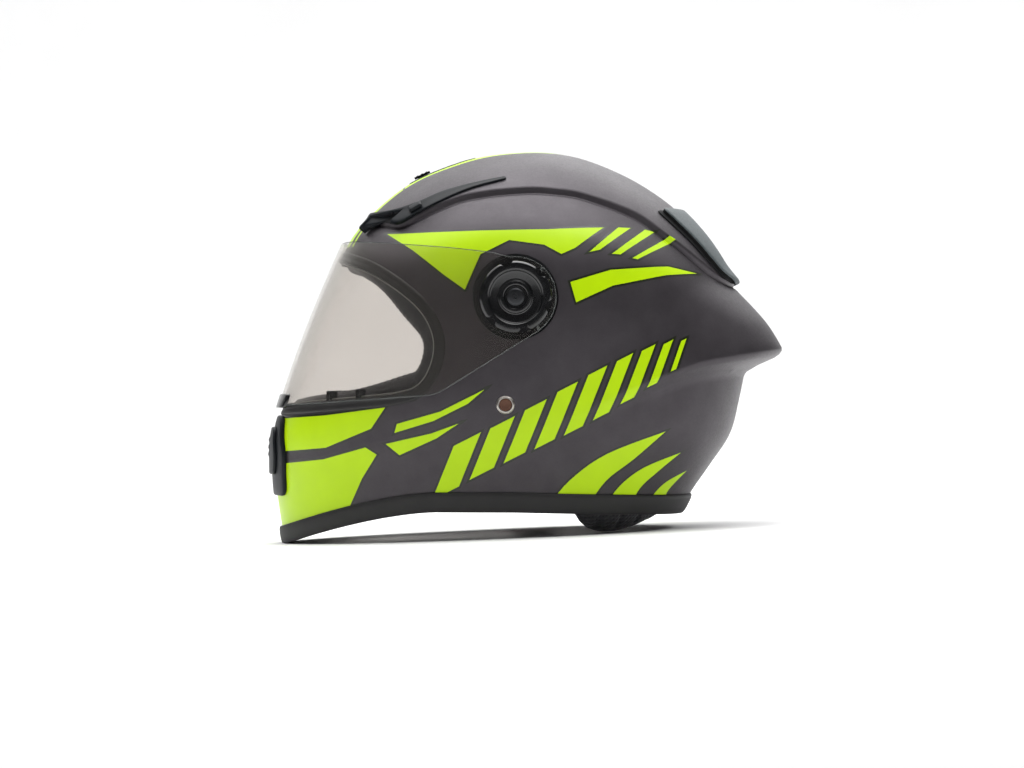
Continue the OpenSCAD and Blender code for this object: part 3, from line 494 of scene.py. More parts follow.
def piece(name, points, faces, finish, body="helmet", slot=None, replaces=(), crease=40, kinds=None,
          ready=False):
    """A mesh object of the helmet that rides on a body; nothing reaches past the box of the CAD parts."""
    mesh = bpy.data.meshes.new(name)
    spots = np.clip(np.asarray(points) if ready else placed(points), *cad_box)
    mesh.from_pydata(spots.tolist(), [], [tuple(int(i) for i in f) for f in faces])
    for m in finish if isinstance(finish, (list, tuple)) else [finish]:
        mesh.materials.append(m)
    if kinds is not None:
        mesh.polygons.foreach_set("material_index", np.asarray(kinds, np.int32))
    mesh.validate()
    mesh.shade_smooth()
    if crease:
        mesh.set_sharp_from_angle(angle=math.radians(crease))
    thing = bpy.data.objects.new(name, mesh)
    bpy.context.scene.collection.objects.link(thing)
    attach(thing, body)
    if replaces:
        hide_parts(*replaces)
    return thing


def lace(rows, cols, wrap_rows=False):
    """Four-sided faces between rings of points, and from the last ring to the first where they wrap."""
    out = []
    for i in range(rows if wrap_rows else rows - 1):
        n = (i + 1) % rows
        for j in range(cols):
            k = (j + 1) % cols
            out.append((i * cols + j, n * cols + j, n * cols + k, i * cols + k))
    return out


def outward(thing):
    """Turns a closed mesh right side out."""
    work = bmesh.new()
    work.from_mesh(thing.data)
    bmesh.ops.recalc_face_normals(work, faces=work.faces)
    work.to_mesh(thing.data)
    work.free()
    return thing


def lofted(name, rings, finish, **words):
    """A closed body through rings of points."""
    rings = np.asarray(rings)
    rows, cols = rings.shape[:2]
    faces = lace(rows, cols)
    faces += [tuple(range(cols)), tuple(range((rows - 1) * cols, rows * cols))]
    return outward(piece(name, rings.reshape(-1, 3), faces, finish, **words))


def swept(name, places, outs, sides, section, finish, **words):
    """A bead of one section run round a loop of places; the section is in side and outward distances."""
    section = np.asarray(section, float)
    rings = places[:, None] + sides[:, None] * section[None, :, :1] + outs[:, None] * section[None, :, 1:]
    rows, cols = rings.shape[:2]
    faces = lace(rows, cols, wrap_rows=True)
    return outward(piece(name, rings.reshape(-1, 3), faces, finish, **words))


def turned_body(name, profile, centre, axis_x, finish, steps=64, **words):
    """A turned body about an axis along X: the profile is in radius and height along the axis."""
    rings = []
    for radius, height in profile:
        ring = []
        for k in range(steps):
            a = 2 * math.pi * k / steps
            ring.append([centre[0] + axis_x * height, centre[1] + radius * math.cos(a),
                         centre[2] + radius * math.sin(a)])
        rings.append(ring)
    return lofted(name, rings, finish, **words)


def raised(name, outline, spot, top, low, finish, edge=1.0, holes=(), step=3.0, walls=0, **words):
    """A plate on the shell inside an outline of one view, with rounded edges. top may be a function."""
    outline = dense(outline, step * 0.7)
    holes = [dense(h, step * 0.5) for h in holes]
    loops = [outline] + holes
    for part in (0.12, 0.4, 1.0):
        loops += [grown(outline, -edge * part)] + [grown(h, edge * part) for h in holes]
    low_corner, high_corner = outline.min(0), outline.max(0)
    across = np.arange(low_corner[0], high_corner[0], step)
    up = np.arange(low_corner[1], high_corner[1], step * ROW_SHARE)
    grid = np.array([(u + (step / 2 if j % 2 else 0), v) for j, v in enumerate(up) for u in across])

    plane, faces, middles = cut_sheet(grid, loops, [], in_plane, step * 0.45)
    keep = encloses(outline, middles)
    for hole in holes:
        keep &= ~encloses(hole, middles)
    plane, faces = trimmed(plane, faces, keep)
    base, out = spot(plane[:, 0], plane[:, 1])
    height = top(plane[:, 0], plane[:, 1]) if callable(top) else np.full(len(plane), float(top))
    near = edge_distance(plane, [outline] + holes)
    turn_in = np.minimum(edge, height - low)
    height = height - turn_in * (1 - np.sqrt(1 - (1 - np.clip(near / edge, 0, 1)) ** 2))
    upper = base + out * height[:, None]
    lower = base + out * low
    faces = facing_out(upper, faces, out)
    points, solid = with_back(upper, lower, faces)
    kinds = np.full(len(solid), walls)
    kinds[:len(faces)] = 0
    return piece(name, points, solid, finish, kinds=kinds, **words)


def spot_on(find, relief=True):
    """Places and outward ways on the shell for two coordinates of a view."""
    def spot(u, v):
        t, angle = find(u, v)
        surface = outside if relief else shell_point
        return surface(t, angle), way_out(surface, t, angle)
    return spot


front_spot = spot_on(front_find)
back_spot = spot_on(back_find)
top_spot = spot_on(from_above)


# Colours and finishes

def linear(code):
    """A colour given as sRGB hex, as Blender's linear colour."""
    parts = [int(code[i:i + 2], 16) / 255 for i in (1, 3, 5)]
    return [c / 12.92 if c <= 0.04045 else ((c + 0.055) / 1.055) ** 2.4 for c in parts] + [1.0]


def add_node(tree, kind, settings=None, values=None, links=None):
    """Adds a node, with its settings, its socket values and what is plugged into it."""
    node = tree.nodes.new(kind)
    for key, value in (settings or {}).items():
        setattr(node, key, value)
    for key, value in (values or {}).items():
        node.inputs[key].default_value = value
    for key, source in (links or {}).items():
        tree.links.new(source, node.inputs[key])
    return node


def finish_of(name, colour, roughness, metallic=0.0, ior=1.5, **sockets):
    """A new material: its node tree, its shader, and the object's own coordinates in metres."""
    made = bpy.data.materials.new(name)
    made.use_nodes = True
    tree = made.node_tree
    shader = next(n for n in tree.nodes if n.type == "BSDF_PRINCIPLED")
    shader.inputs["Base Color"].default_value = linear(colour)
    shader.inputs["Roughness"].default_value = roughness
    shader.inputs["Metallic"].default_value = metallic
    shader.inputs["IOR"].default_value = ior
    for key, value in sockets.items():
        shader.inputs[key.replace("_", " ")].default_value = value
    made.diffuse_color = linear(colour)
    coords = add_node(tree, "ShaderNodeTexCoord").outputs["Object"]
    return made, tree, shader, coords


def two_tones(tree, factor, dark, light, low=0.3, high=0.7):
    """A colour that runs between two hex colours as a pattern's value rises."""
    ramp = add_node(tree, "ShaderNodeValToRGB", links={"Fac": factor})
    ramp.color_ramp.elements[0].position = low
    ramp.color_ramp.elements[1].position = high
    ramp.color_ramp.elements[0].color = linear(dark)
    ramp.color_ramp.elements[1].color = linear(light)
    return ramp.outputs["Color"]


def per_metre(size_mm):
    """Scale of a pattern whose features are that size."""
    return 1000.0 / size_mm


def lacquered_paint(name, colour, shade, **sockets):
    """Sprayed paint under satin lacquer: fine orange peel and a faint mottle."""
    made, tree, shader, coords = finish_of(name, colour, 0.36, **sockets)
    mottle = add_node(tree, "ShaderNodeTexNoise", values={"Scale": per_metre(18), "Detail": 3.0},
                      links={"Vector": coords})
    tree.links.new(two_tones(tree, mottle.outputs["Fac"], shade, colour, 0.2, 0.75),
                   shader.inputs["Base Color"])
    peel = add_node(tree, "ShaderNodeTexNoise", values={"Scale": per_metre(1.6), "Detail": 1.0},
                    links={"Vector": coords})
    bump = add_node(tree, "ShaderNodeBump", values={"Strength": 0.04, "Distance": 0.0002},
                    links={"Height": peel.outputs["Fac"]})
    tree.links.new(bump.outputs["Normal"], shader.inputs["Normal"])
    return made, tree, shader, coords


def gunmetal_paint():
    # Aluminium flake in grey lacquer: a soft grey sheen with a fine sparkle, drawn coarser than it is
    made, tree, shader, coords = lacquered_paint("gunmetal flake paint", "#464246", "#3D393D",
                                                 Coat_Weight=0.08, Coat_Roughness=0.3)
    shader.inputs["Metallic"].default_value = 0.7
    flake = add_node(tree, "ShaderNodeTexVoronoi", values={"Scale": per_metre(0.9)},
                     links={"Vector": coords})
    rough = add_node(tree, "ShaderNodeMapRange", values={"To Min": 0.44, "To Max": 0.56},
                     links={"Value": flake.outputs["Color"]})
    tree.links.new(rough.outputs["Result"], shader.inputs["Roughness"])
    return made


def neon_paint():
    # Fluorescent pigment over white, with a painted glow: a fixed emission stands for the fluorescence, so
    # it is brighter than the light on it
    made, _, shader, _ = lacquered_paint("fluorescent yellow paint", "#B0D600", "#A8CE00",
                                         Specular_IOR_Level=0.25)
    shader.inputs["Emission Color"].default_value = linear("#C2E800")
    shader.inputs["Emission Strength"].default_value = 0.12
    return made


def outline_paint():
    # Dark olive line where the film's two colours overlap
    return lacquered_paint("dark olive line paint", "#151B04", "#101502", Coat_Weight=0.1,
                           Coat_Roughness=0.2)[0]


def moulded_rubber():
    # Moulded EPDM: near black, dull, with a faint bloom
    made, tree, shader, coords = finish_of("moulded rubber", "#171616", 0.6, ior=1.5)
    bloom = add_node(tree, "ShaderNodeTexNoise", values={"Scale": per_metre(25), "Detail": 4.0},
                     links={"Vector": coords})
    tree.links.new(two_tones(tree, bloom.outputs["Fac"], "#121112", "#1C1A1B"), shader.inputs["Base Color"])
    grain = add_node(tree, "ShaderNodeTexNoise", values={"Scale": per_metre(0.8), "Detail": 2.0},
                     links={"Vector": coords})
    bump = add_node(tree, "ShaderNodeBump", values={"Strength": 0.15, "Distance": 0.0002},
                    links={"Height": grain.outputs["Fac"]})
    tree.links.new(bump.outputs["Normal"], shader.inputs["Normal"])
    return made


def grained_abs(name="grained ABS", colour="#0B0F14", light="#12171C", roughness=0.48):
    # Injection moulded ABS with a spark-eroded grain, about half a millimetre, drawn at one
    made, tree, shader, coords = finish_of(name, colour, roughness, ior=1.54, Specular_IOR_Level=0.18)
    grain = add_node(tree, "ShaderNodeTexNoise", values={"Scale": per_metre(1.0), "Detail": 2.0},
                     links={"Vector": coords})
    tree.links.new(two_tones(tree, grain.outputs["Fac"], colour, light), shader.inputs["Base Color"])
    bump = add_node(tree, "ShaderNodeBump", values={"Strength": 0.2, "Distance": 0.00015},
                    links={"Height": grain.outputs["Fac"]})
    tree.links.new(bump.outputs["Normal"], shader.inputs["Normal"])
    return made


def polished_abs():
    # Polished black ABS: sharp reflections with hairline wear
    made, tree, shader, coords = finish_of("polished black ABS", "#0A0B0D", 0.14, ior=1.54, Coat_Weight=0.2,
                                           Coat_Roughness=0.06)
    wear = add_node(tree, "ShaderNodeTexNoise", values={"Scale": per_metre(9), "Detail": 5.0},
                    links={"Vector": coords})
    rough = add_node(tree, "ShaderNodeMapRange", values={"To Min": 0.1, "To Max": 0.26},
                     links={"Value": wear.outputs["Fac"]})
    tree.links.new(rough.outputs["Result"], shader.inputs["Roughness"])
    return made


def smoked_polycarbonate():
    # Smoked polycarbonate with a spark-eroded grain: dark grey and dull
    made, tree, shader, coords = finish_of("smoked polycarbonate", "#3D4649", 0.55, ior=1.585)
    haze = add_node(tree, "ShaderNodeTexNoise", values={"Scale": per_metre(1.4), "Detail": 3.0},
                    links={"Vector": coords})
    tree.links.new(two_tones(tree, haze.outputs["Fac"], "#343C3F", "#4A5457"), shader.inputs["Base Color"])
    bump = add_node(tree, "ShaderNodeBump", values={"Strength": 0.35, "Distance": 0.0003},
                    links={"Height": haze.outputs["Fac"]})
    tree.links.new(bump.outputs["Normal"], shader.inputs["Normal"])
    return made


def clear_polycarbonate():
    # Hard-coated polycarbonate sheet, 2.2 mm: light goes straight through, and its faces reflect a little
    made, tree, shader, coords = finish_of("clear polycarbonate", "#F2F1EC", 0.03, ior=1.585)
    clear = add_node(tree, "ShaderNodeBsdfTransparent", values={"Color": linear("#F1EFED")})
    slant = add_node(tree, "ShaderNodeLayerWeight", values={"Blend": 0.5})
    steep = add_node(tree, "ShaderNodeMath", {"operation": "POWER"})
    tree.links.new(slant.outputs["Facing"], steep.inputs[0])
    steep.inputs[1].default_value = 5.0
    haze = add_node(tree, "ShaderNodeTexNoise", values={"Scale": per_metre(60), "Detail": 3.0},
                    links={"Vector": coords})
    veil = add_node(tree, "ShaderNodeMapRange", values={"To Min": 0.008, "To Max": 0.022},
                    links={"Value": haze.outputs["Fac"]})
    share = add_node(tree, "ShaderNodeMath", {"operation": "MULTIPLY_ADD", "use_clamp": True})
    tree.links.new(steep.outputs["Value"], share.inputs[0])
    share.inputs[1].default_value = 0.75
    tree.links.new(veil.outputs["Result"], share.inputs[2])
    mixed = add_node(tree, "ShaderNodeMixShader", links={"Fac": share.outputs["Value"]})
    tree.links.new(clear.outputs["BSDF"], mixed.inputs[1])
    tree.links.new(shader.outputs["BSDF"], mixed.inputs[2])
    shader.inputs["Base Color"].default_value = linear("#D9D8D4")
    end = next(n for n in tree.nodes if n.type == "OUTPUT_MATERIAL")
    tree.links.new(mixed.outputs["Shader"], end.inputs["Surface"])
    return made


def cut_edge_and_highlight():
    # The sheet's routed edge scatters some light and lets the rest through: pale and satin. The pale colour
    # is also a painted highlight along the lens's edges
    made, tree, shader, coords = finish_of("cut polycarbonate edge", "#6A6E6C", 0.3, ior=1.585,
                                           Alpha=0.45)
    marks = add_node(tree, "ShaderNodeTexNoise", values={"Scale": per_metre(2), "Detail": 2.0},
                     links={"Vector": coords})
    tree.links.new(two_tones(tree, marks.outputs["Fac"], "#5A5E5C", "#7E8280"), shader.inputs["Base Color"])
    return made


def bead_foam():
    # Steam-moulded bead foam: 3 mm beads with fine seams between them
    made, tree, shader, coords = finish_of("bead foam", "#DEDCD6", 0.75, ior=1.5)
    beads = add_node(tree, "ShaderNodeTexVoronoi", {"feature": "DISTANCE_TO_EDGE"},
                     {"Scale": per_metre(3)}, {"Vector": coords})
    tree.links.new(two_tones(tree, beads.outputs["Distance"], "#C9C6BF", "#E4E2DC", 0.0, 0.2),
                   shader.inputs["Base Color"])
    bump = add_node(tree, "ShaderNodeBump", values={"Strength": 0.5, "Distance": 0.0004},
                    links={"Height": beads.outputs["Distance"]})
    tree.links.new(bump.outputs["Normal"], shader.inputs["Normal"])
    return made


def brushed_knit():
    # Brushed polyester knit over foam: soft, dark grey, its loops a millimetre apart
    made, tree, shader, coords = finish_of("brushed knit", "#29292C", 0.9,
                                           Sheen_Weight=0.5, Sheen_Roughness=0.5)
    loops = add_node(tree, "ShaderNodeTexVoronoi", values={"Scale": per_metre(1.2), "Randomness": 0.35},
                     links={"Vector": coords})
    pile = add_node(tree, "ShaderNodeTexNoise", values={"Scale": per_metre(6), "Detail": 5.0},
                    links={"Vector": coords})
    tree.links.new(two_tones(tree, pile.outputs["Fac"], "#202023", "#343438"), shader.inputs["Base Color"])
    bump = add_node(tree, "ShaderNodeBump", values={"Strength": 0.45, "Distance": 0.0004},
                    links={"Height": loops.outputs["Distance"]})
    tree.links.new(bump.outputs["Normal"], shader.inputs["Normal"])
    return made


def spacer_mesh():
    # Warp-knit spacer mesh: rows of 2 mm eyelets in a dark grey face
    made, tree, shader, coords = finish_of("spacer mesh", "#232327", 0.85,
                                           Sheen_Weight=0.3, Sheen_Roughness=0.5)
    eyelets = add_node(tree, "ShaderNodeTexVoronoi", values={"Scale": per_metre(2.2), "Randomness": 0.1},
                       links={"Vector": coords})
    tree.links.new(two_tones(tree, eyelets.outputs["Distance"], "#0E0E10", "#2E2E33", 0.1, 0.45),
                   shader.inputs["Base Color"])
    bump = add_node(tree, "ShaderNodeBump", values={"Strength": 0.8, "Distance": 0.0007},
                    links={"Height": eyelets.outputs["Distance"]})
    tree.links.new(bump.outputs["Normal"], shader.inputs["Normal"])
    return made


def woven_webbing():
    # Woven polyester: ribs 1.5 mm apart across the tape, with a slight gloss
    made, tree, shader, coords = finish_of("woven polyester webbing", "#1B1B1D", 0.6, Sheen_Weight=0.2)
    ribs = add_node(tree, "ShaderNodeTexWave", {"bands_direction": "DIAGONAL"},
                    {"Scale": per_metre(1.5) / 6.283, "Distortion": 1.0}, {"Vector": coords})
    threads = add_node(tree, "ShaderNodeTexVoronoi", values={"Scale": per_metre(1.1), "Randomness": 0.25},
                       links={"Vector": coords})
    tree.links.new(two_tones(tree, threads.outputs["Distance"], "#111113", "#2C2C2F"),
                   shader.inputs["Base Color"])
    bump = add_node(tree, "ShaderNodeBump", values={"Strength": 0.6, "Distance": 0.0004},
                    links={"Height": ribs.outputs["Fac"]})
    tree.links.new(bump.outputs["Normal"], shader.inputs["Normal"])
    return made


def turned_metal(name, colour, roughness):
    # Turned and plated metal: fine marks round the piece
    made, tree, shader, coords = finish_of(name, colour, roughness, 1.0)
    marks = add_node(tree, "ShaderNodeTexNoise", values={"Scale": per_metre(1.2), "Detail": 4.0},
                     links={"Vector": coords})
    rough = add_node(tree, "ShaderNodeMapRange",
                     values={"To Min": roughness - 0.08, "To Max": roughness + 0.12},
                     links={"Value": marks.outputs["Fac"]})
    tree.links.new(rough.outputs["Result"], shader.inputs["Roughness"])
    return made


gunmetal = gunmetal_paint()
neon = neon_paint()
line_paint = outline_paint()
rubber = moulded_rubber()
abs_vent = grained_abs()
abs_black = grained_abs("black nylon", "#151618", "#1E1F22", 0.5)
# A darker, duller copy of the black nylon: painted shade for faces in hollows and gaps
abs_painted_shade = grained_abs("black nylon, painted shade", "#08090A", "#0D0E10", 0.7)
abs_red = grained_abs("red acetal", "#8E1D19", "#A3241F", 0.35)
gloss_black = polished_abs()
smoked = smoked_polycarbonate()
lens_clear = clear_polycarbonate()
lens_edge_highlight = cut_edge_and_highlight()
foam = bead_foam()
knit = brushed_knit()
mesh_cloth = spacer_mesh()
webbing = woven_webbing()
steel = turned_metal("zinc-plated steel", "#8E9092", 0.34)
bright_metal = turned_metal("bright plated brass", "#B4AFA9", 0.32)
copper = turned_metal("browned copper", "#6E5246", 0.55)
dark_screw = turned_metal("blackened steel", "#3A3B3D", 0.38)
# Braided polyester cord: pale grey and matt, its braid too fine to show
piping = finish_of("pale braided piping", "#8F8F8C", 0.8)[0]
# Bonded nylon sewing thread: dark grey with a slight gloss
thread = finish_of("bonded nylon thread", "#3C3C3F", 0.5)[0]


# Camera, floor and light

VIEW_DISTANCE = 2950.0
VIEW_WIDTH = 675.8
VIEW_AT = (-2.3, -55.0)
SENSOR_WIDTH = 36

camera_data = bpy.data.cameras.new("camera")
camera_data.sensor_width = SENSOR_WIDTH
camera_data.lens = SENSOR_WIDTH * VIEW_DISTANCE / VIEW_WIDTH
camera_data.clip_end = 50
camera = bpy.data.objects.new("camera", camera_data)
bpy.context.scene.collection.objects.link(camera)
eye = placed([[VIEW_DISTANCE, *VIEW_AT]])[0]
right_way, up_way, back_way = TURN @ [0, 1, 0], TURN @ [0, 0, 1], TURN @ [1, 0, 0]
view_ways = np.stack([right_way, up_way, back_way], 1)
camera.matrix_world = Matrix([[*row, eye[i]] for i, row in enumerate(view_ways)] + [[0, 0, 0, 1]])
bpy.context.scene.camera = camera


def studio_floor():
    # Matt white paper, plain and pale
    made, tree, shader, coords = finish_of("white paper sweep", "#F4F4F4", 0.9)
    grain = add_node(tree, "ShaderNodeTexNoise", values={"Scale": 3.0}, links={"Vector": coords})
    tree.links.new(two_tones(tree, grain.outputs["Fac"], "#F2F2F2", "#F6F6F6"), shader.inputs["Base Color"])
    steps = 24
    near, reach, bend, tall, wide = 2.2, 6.0, 2.0, 6.0, 9.0
    points = []
    for k in range(steps + 1):
        a = math.pi / 2 * k / steps
        points.append((-(reach + bend * math.sin(a)), bend * (1 - math.cos(a))))
    rows = [(near, 0.0)] + points + [(-(reach + bend), tall)]
    mesh = bpy.data.meshes.new("floor")
    verts = [(x, y, z) for x, z in rows for y in (-wide, wide)]
    mesh.from_pydata(verts, [], [(2 * i, 2 * i + 1, 2 * i + 3, 2 * i + 2) for i in range(len(rows) - 1)])
    mesh.materials.append(made)
    mesh.shade_smooth()
    floor = bpy.data.objects.new("floor", mesh)
    bpy.context.scene.collection.objects.link(floor)


studio_floor()


def softbox(name, place, aim, size, watts):
    """A large soft lamp aimed at a place."""
    data = bpy.data.lights.new(name, "AREA")
    data.shape = "RECTANGLE"
    data.size, data.size_y = size
    data.energy = watts
    lamp = bpy.data.objects.new(name, data)
    lamp.location = place
    lamp.rotation_euler = (Vector(aim) - Vector(place)).to_track_quat("-Z", "Y").to_euler()
    bpy.context.scene.collection.objects.link(lamp)


world = bpy.data.worlds.new("studio")
bpy.context.scene.world = world
world.use_nodes = True
bpy.context.scene.view_settings.view_transform = "Standard"
backing = next(n for n in world.node_tree.nodes if n.type == "BACKGROUND")
backing.inputs["Color"].default_value = linear("#FFFFFF")
backing.inputs["Strength"].default_value = 0.09
softbox("overhead_softbox", (-2.8, 0.0, 4.2), (-2.8, 0, 0), (9.0, 10.0), 550)
softbox("top_softbox", (0.1, 0.1, 1.7), (0, 0, 0.12), (1.2, 2.0), 27)
softbox("front_softbox", (1.6, -1.4, 1.1), (0, 0, 0.12), (0.8, 1.2), 2)
softbox("back_softbox", (-1.4, 0.6, 1.5), (0, 0, 0.15), (1.4, 1.4), 8)


# The shell laid flat round its crown, and lines drawn on it

SPREAD = 14.0


def disc(t, angle):
    """Where a place of the shell lies when its surface is spread flat round the crown."""
    a = np.radians(angle)
    return np.stack([SPREAD * t * np.cos(a), SPREAD * t * np.sin(a)], -1)


def undisc(flat):
    v = np.where(np.abs(flat[:, 1]) < 1e-4, 0, flat[:, 1])
    return np.hypot(flat[:, 0], v) / SPREAD, np.degrees(np.arctan2(v, flat[:, 0])) % 360


def deep_side(deep):
    """Finds slice and angle for a place of the side view on a layer under the shell."""
    def find(y, z):
        y = np.asarray(y, float)
        z = np.asarray(z, float)
        seek_y, seek_z = y.copy(), z.copy()
        for _ in range(10):
            t, angle = from_side(seek_y, seek_z)
            p = inside(t, angle, np.full(t.shape, deep))
            seek_y = seek_y + 0.8 * (y - p[..., 1])
            seek_z = seek_z + 0.8 * (z - p[..., 2])
        return from_side(seek_y, seek_z)
    return find


def traced(find, line, step=2.5, closed=False):
    """Slices and angles along a line of a view, evenly spaced over the shell."""
    line = np.asarray(line, float)
    ends = np.roll(line, -1, axis=0) if closed else line[1:]
    ease = (1 - np.cos(np.linspace(0, math.pi, 41))) / 2
    found = []
    for a, b in zip(line, ends):
        spots = a + (b - a) * ease[:, None]
        t, angle = find(spots[:, 0], spots[:, 1])
        p = shell_point(t, angle)
        run = np.concatenate([[0], np.cumsum(np.linalg.norm(np.diff(p, axis=0), axis=1))])
        at = np.linspace(0, run[-1], max(1, int(math.ceil(run[-1] / step))) + 1)[:-1]
        found.append(np.stack([np.interp(at, run, t), np.interp(at, run, angle)], -1))
    if not closed:
        found.append([[t[-1], angle[-1]]])
    found = np.vstack(found)
    p = shell_point(found[:, 0], found[:, 1])
    far = np.linalg.norm(p - np.roll(p, 1, axis=0), axis=1) > 0.08
    return found[far] if closed else found[np.r_[True, far[1:]]]


def both_halves(half):
    """A closed loop from its left half, whose ends lie on the middle of the helmet."""
    other = half[::-1].copy()
    other[:, 1] = 360 - other[:, 1]
    keep = (half[:, 1] > 0.02) & (half[:, 1] < 179.98)
    return np.vstack([half, other[keep[::-1]]])


def widened(loop, by):
    """A closed loop moved outwards over the shell by a distance, or inwards."""
    t, angle = loop[:, 0], loop[:, 1]
    p = shell_point(t, angle)
    out = way_out(shell_point, t, angle)
    ahead = unit(np.roll(p, -1, axis=0) - p)
    side_b = unit(np.cross(ahead, out))
    side_a = unit(np.cross(np.roll(ahead, 1, axis=0), out))
    corner = unit(side_a + side_b)
    stretch = 1 / np.clip(np.sum(corner * side_b, -1), 0.4, 1)
    way = 1 if turning(disc(t, angle)) < 0 else -1
    move = corner * (by * way * stretch)[:, None]
    down = (shell_point(t + 0.02, angle) - shell_point(t - 0.02, angle)) / 0.04
    turn = (shell_point(t, angle + 0.2) - shell_point(t, angle - 0.2)) / 0.4
    dd, dt, tt = np.sum(down * down, -1), np.sum(down * turn, -1), np.sum(turn * turn, -1)
    md, mt = np.sum(move * down, -1), np.sum(move * turn, -1)
    whole = np.maximum(dd * tt - dt * dt, 1e-9)
    return np.stack([t + (md * tt - mt * dt) / whole, angle + (mt * dd - md * dt) / whole], -1)


def upper_half(loop):
    """The part of a flat loop on the left half of the helmet."""
    out = []
    for a, b in zip(loop, np.roll(loop, -1, axis=0)):
        if a[1] >= 0:
            out.append(a)
        if (a[1] >= 0) != (b[1] >= 0):
            out.append(np.array([a[0] + (b[0] - a[0]) * a[1] / (a[1] - b[1]), 0.0]))
    return np.array(out)


def half_loop(loop):
    """A loop of slices and angles as a flat loop on the left half."""
    return upper_half(disc(loop[:, 0], loop[:, 1]))


ROWS_TABLE = np.linspace(0, LAST, 1401)
RUN_TABLE = np.concatenate([[0], np.cumsum(np.linalg.norm(np.diff(
    shell_point(ROWS_TABLE, np.full(len(ROWS_TABLE), 90.0)), axis=0), axis=1))])


def surface_grid(step, edge):
    """Evenly spread places on the left half of the shell, down to an edge given by angle."""
    spots = []
    for k in range(1, int(RUN_TABLE[-1] / (step * ROW_SHARE))):
        t = np.interp(k * step * ROW_SHARE, RUN_TABLE, ROWS_TABLE)
        round_way = shell_point(np.full(181, t), np.arange(181.0))
        run = np.concatenate([[0], np.cumsum(np.linalg.norm(np.diff(round_way, axis=0), axis=1))])
        count = max(3, int(run[-1] / step))
        at = (np.arange(count) + (0.25 if k % 2 else 0.75)) / count * run[-1]
        angle = np.interp(at, run, np.arange(181.0))
        spots.append(np.stack([np.full(count, t), angle], -1)[t < edge(angle) - 0.06])
    return np.vstack(spots)


def half_sheet(edge_line, holes=(), paint=(), lines=(), step=3.4):
    """The left half of a sheet over the shell, cut to its edge and round its holes.

    edge_line is the lower edge from back to front, as slices and angles. Gives slices, angles, triangles,
    and for each triangle the number of the innermost painted loop round it, or -1.
    """
    tip = np.linspace(edge_line[-1, 0], 0, int(edge_line[-1, 0] * 8))[1:-1]
    tail = np.linspace(0, edge_line[0, 0], int(edge_line[0, 0] * 8))[:-1]
    middle = np.vstack([disc(tip, np.full(len(tip), 180.0)), disc(tail, np.zeros(len(tail)))])
    outer = np.vstack([disc(edge_line[:, 0], edge_line[:, 1]), middle])
    holes = [half_loop(h) for h in holes]
    paint = [half_loop(p) for p in paint]
    drawn = [disc(line[:, 0], line[:, 1]) for line in lines]
    order = np.argsort(edge_line[:, 1])
    grid = surface_grid(step, lambda a: np.interp(a, edge_line[order, 1], edge_line[order, 0]))

    def solid(flat):
        return shell_point(*undisc(flat))

    flat, faces, middles = cut_sheet(disc(grid[:, 0], grid[:, 1]), [outer] + holes + paint, drawn, solid,
                                     step * 0.45)
    keep = encloses(outer, middles)
    for hole in holes:
        keep &= ~encloses(hole, middles)
    kinds = np.full(len(faces), -1)
    for k, loop in enumerate(paint):
        kinds[encloses(loop, middles)] = k
    flat, faces = trimmed(flat, faces, keep)
    t, angle = undisc(flat)
    return t, angle, faces, kinds[keep]


def whole_layer(name, half, top, low, finish, kinds=None, **words):
    """A closed layer of the helmet from its left half: top and low give points and outward ways."""
    t, angle, faces, _ = half
    upper, out = top(t, angle)
    lower, _ = low(t, angle)
    faces = facing_out(upper, faces, out)
    seam = np.abs(upper[:, 0]) < 0.02
    both, under, ways = (with_mirror(v, seam) for v in (upper, lower, out))
    all_faces = mirror_faces(faces, seam)
    points, solid = with_back(both, under, all_faces)
    if kinds is not None:
        walls = len(solid) - 2 * len(all_faces)
        kinds = np.concatenate([kinds, kinds, np.zeros(len(all_faces) + walls, int)])
    thing = piece(name, points, solid, finish, kinds=kinds, crease=0, **words)
    normals = np.vstack([unit(ways), -unit(ways)]) @ TURN.T
    thing.data.normals_split_custom_set_from_vertices(normals.tolist())
    return thing


def base_layer(deep):
    """Points and outward ways of a layer at a depth under the shell's smooth form."""
    def layer(t, angle):
        return inside(t, angle, np.full(t.shape, deep)), way_out(shell_point, t, angle)
    return layer


def outer_face(t, angle):
    return outside(t, angle), way_out(outside, t, angle)


def front_y(z):
    return slice_row(slice_at(z))[..., 1]


def back_y(z):
    return slice_row(slice_at(z))[..., 2]


def rim_rows(rise):
    """The line along the lower edge, raised by a height, from back to front."""
    angle = np.linspace(0, 180, 121)
    return np.stack([cross_at(rim_z, rise, angle), angle], -1)


# Livery: blades, bars and slashes in bright yellow with dark olive outlines, the same on both sides

def bar(middle, along_way, width, height, lean):
    """A slanting bar of the side view."""
    d = np.array([math.cos(math.radians(along_way)), math.sin(math.radians(along_way))])
    up = np.array([math.cos(math.radians(lean)), math.sin(math.radians(lean))])
    m = np.array(middle, float)
    return [m - d * width / 2 - up * height / 2, m + d * width / 2 - up * height / 2,
            m + d * width / 2 + up * height / 2, m - d * width / 2 + up * height / 2]


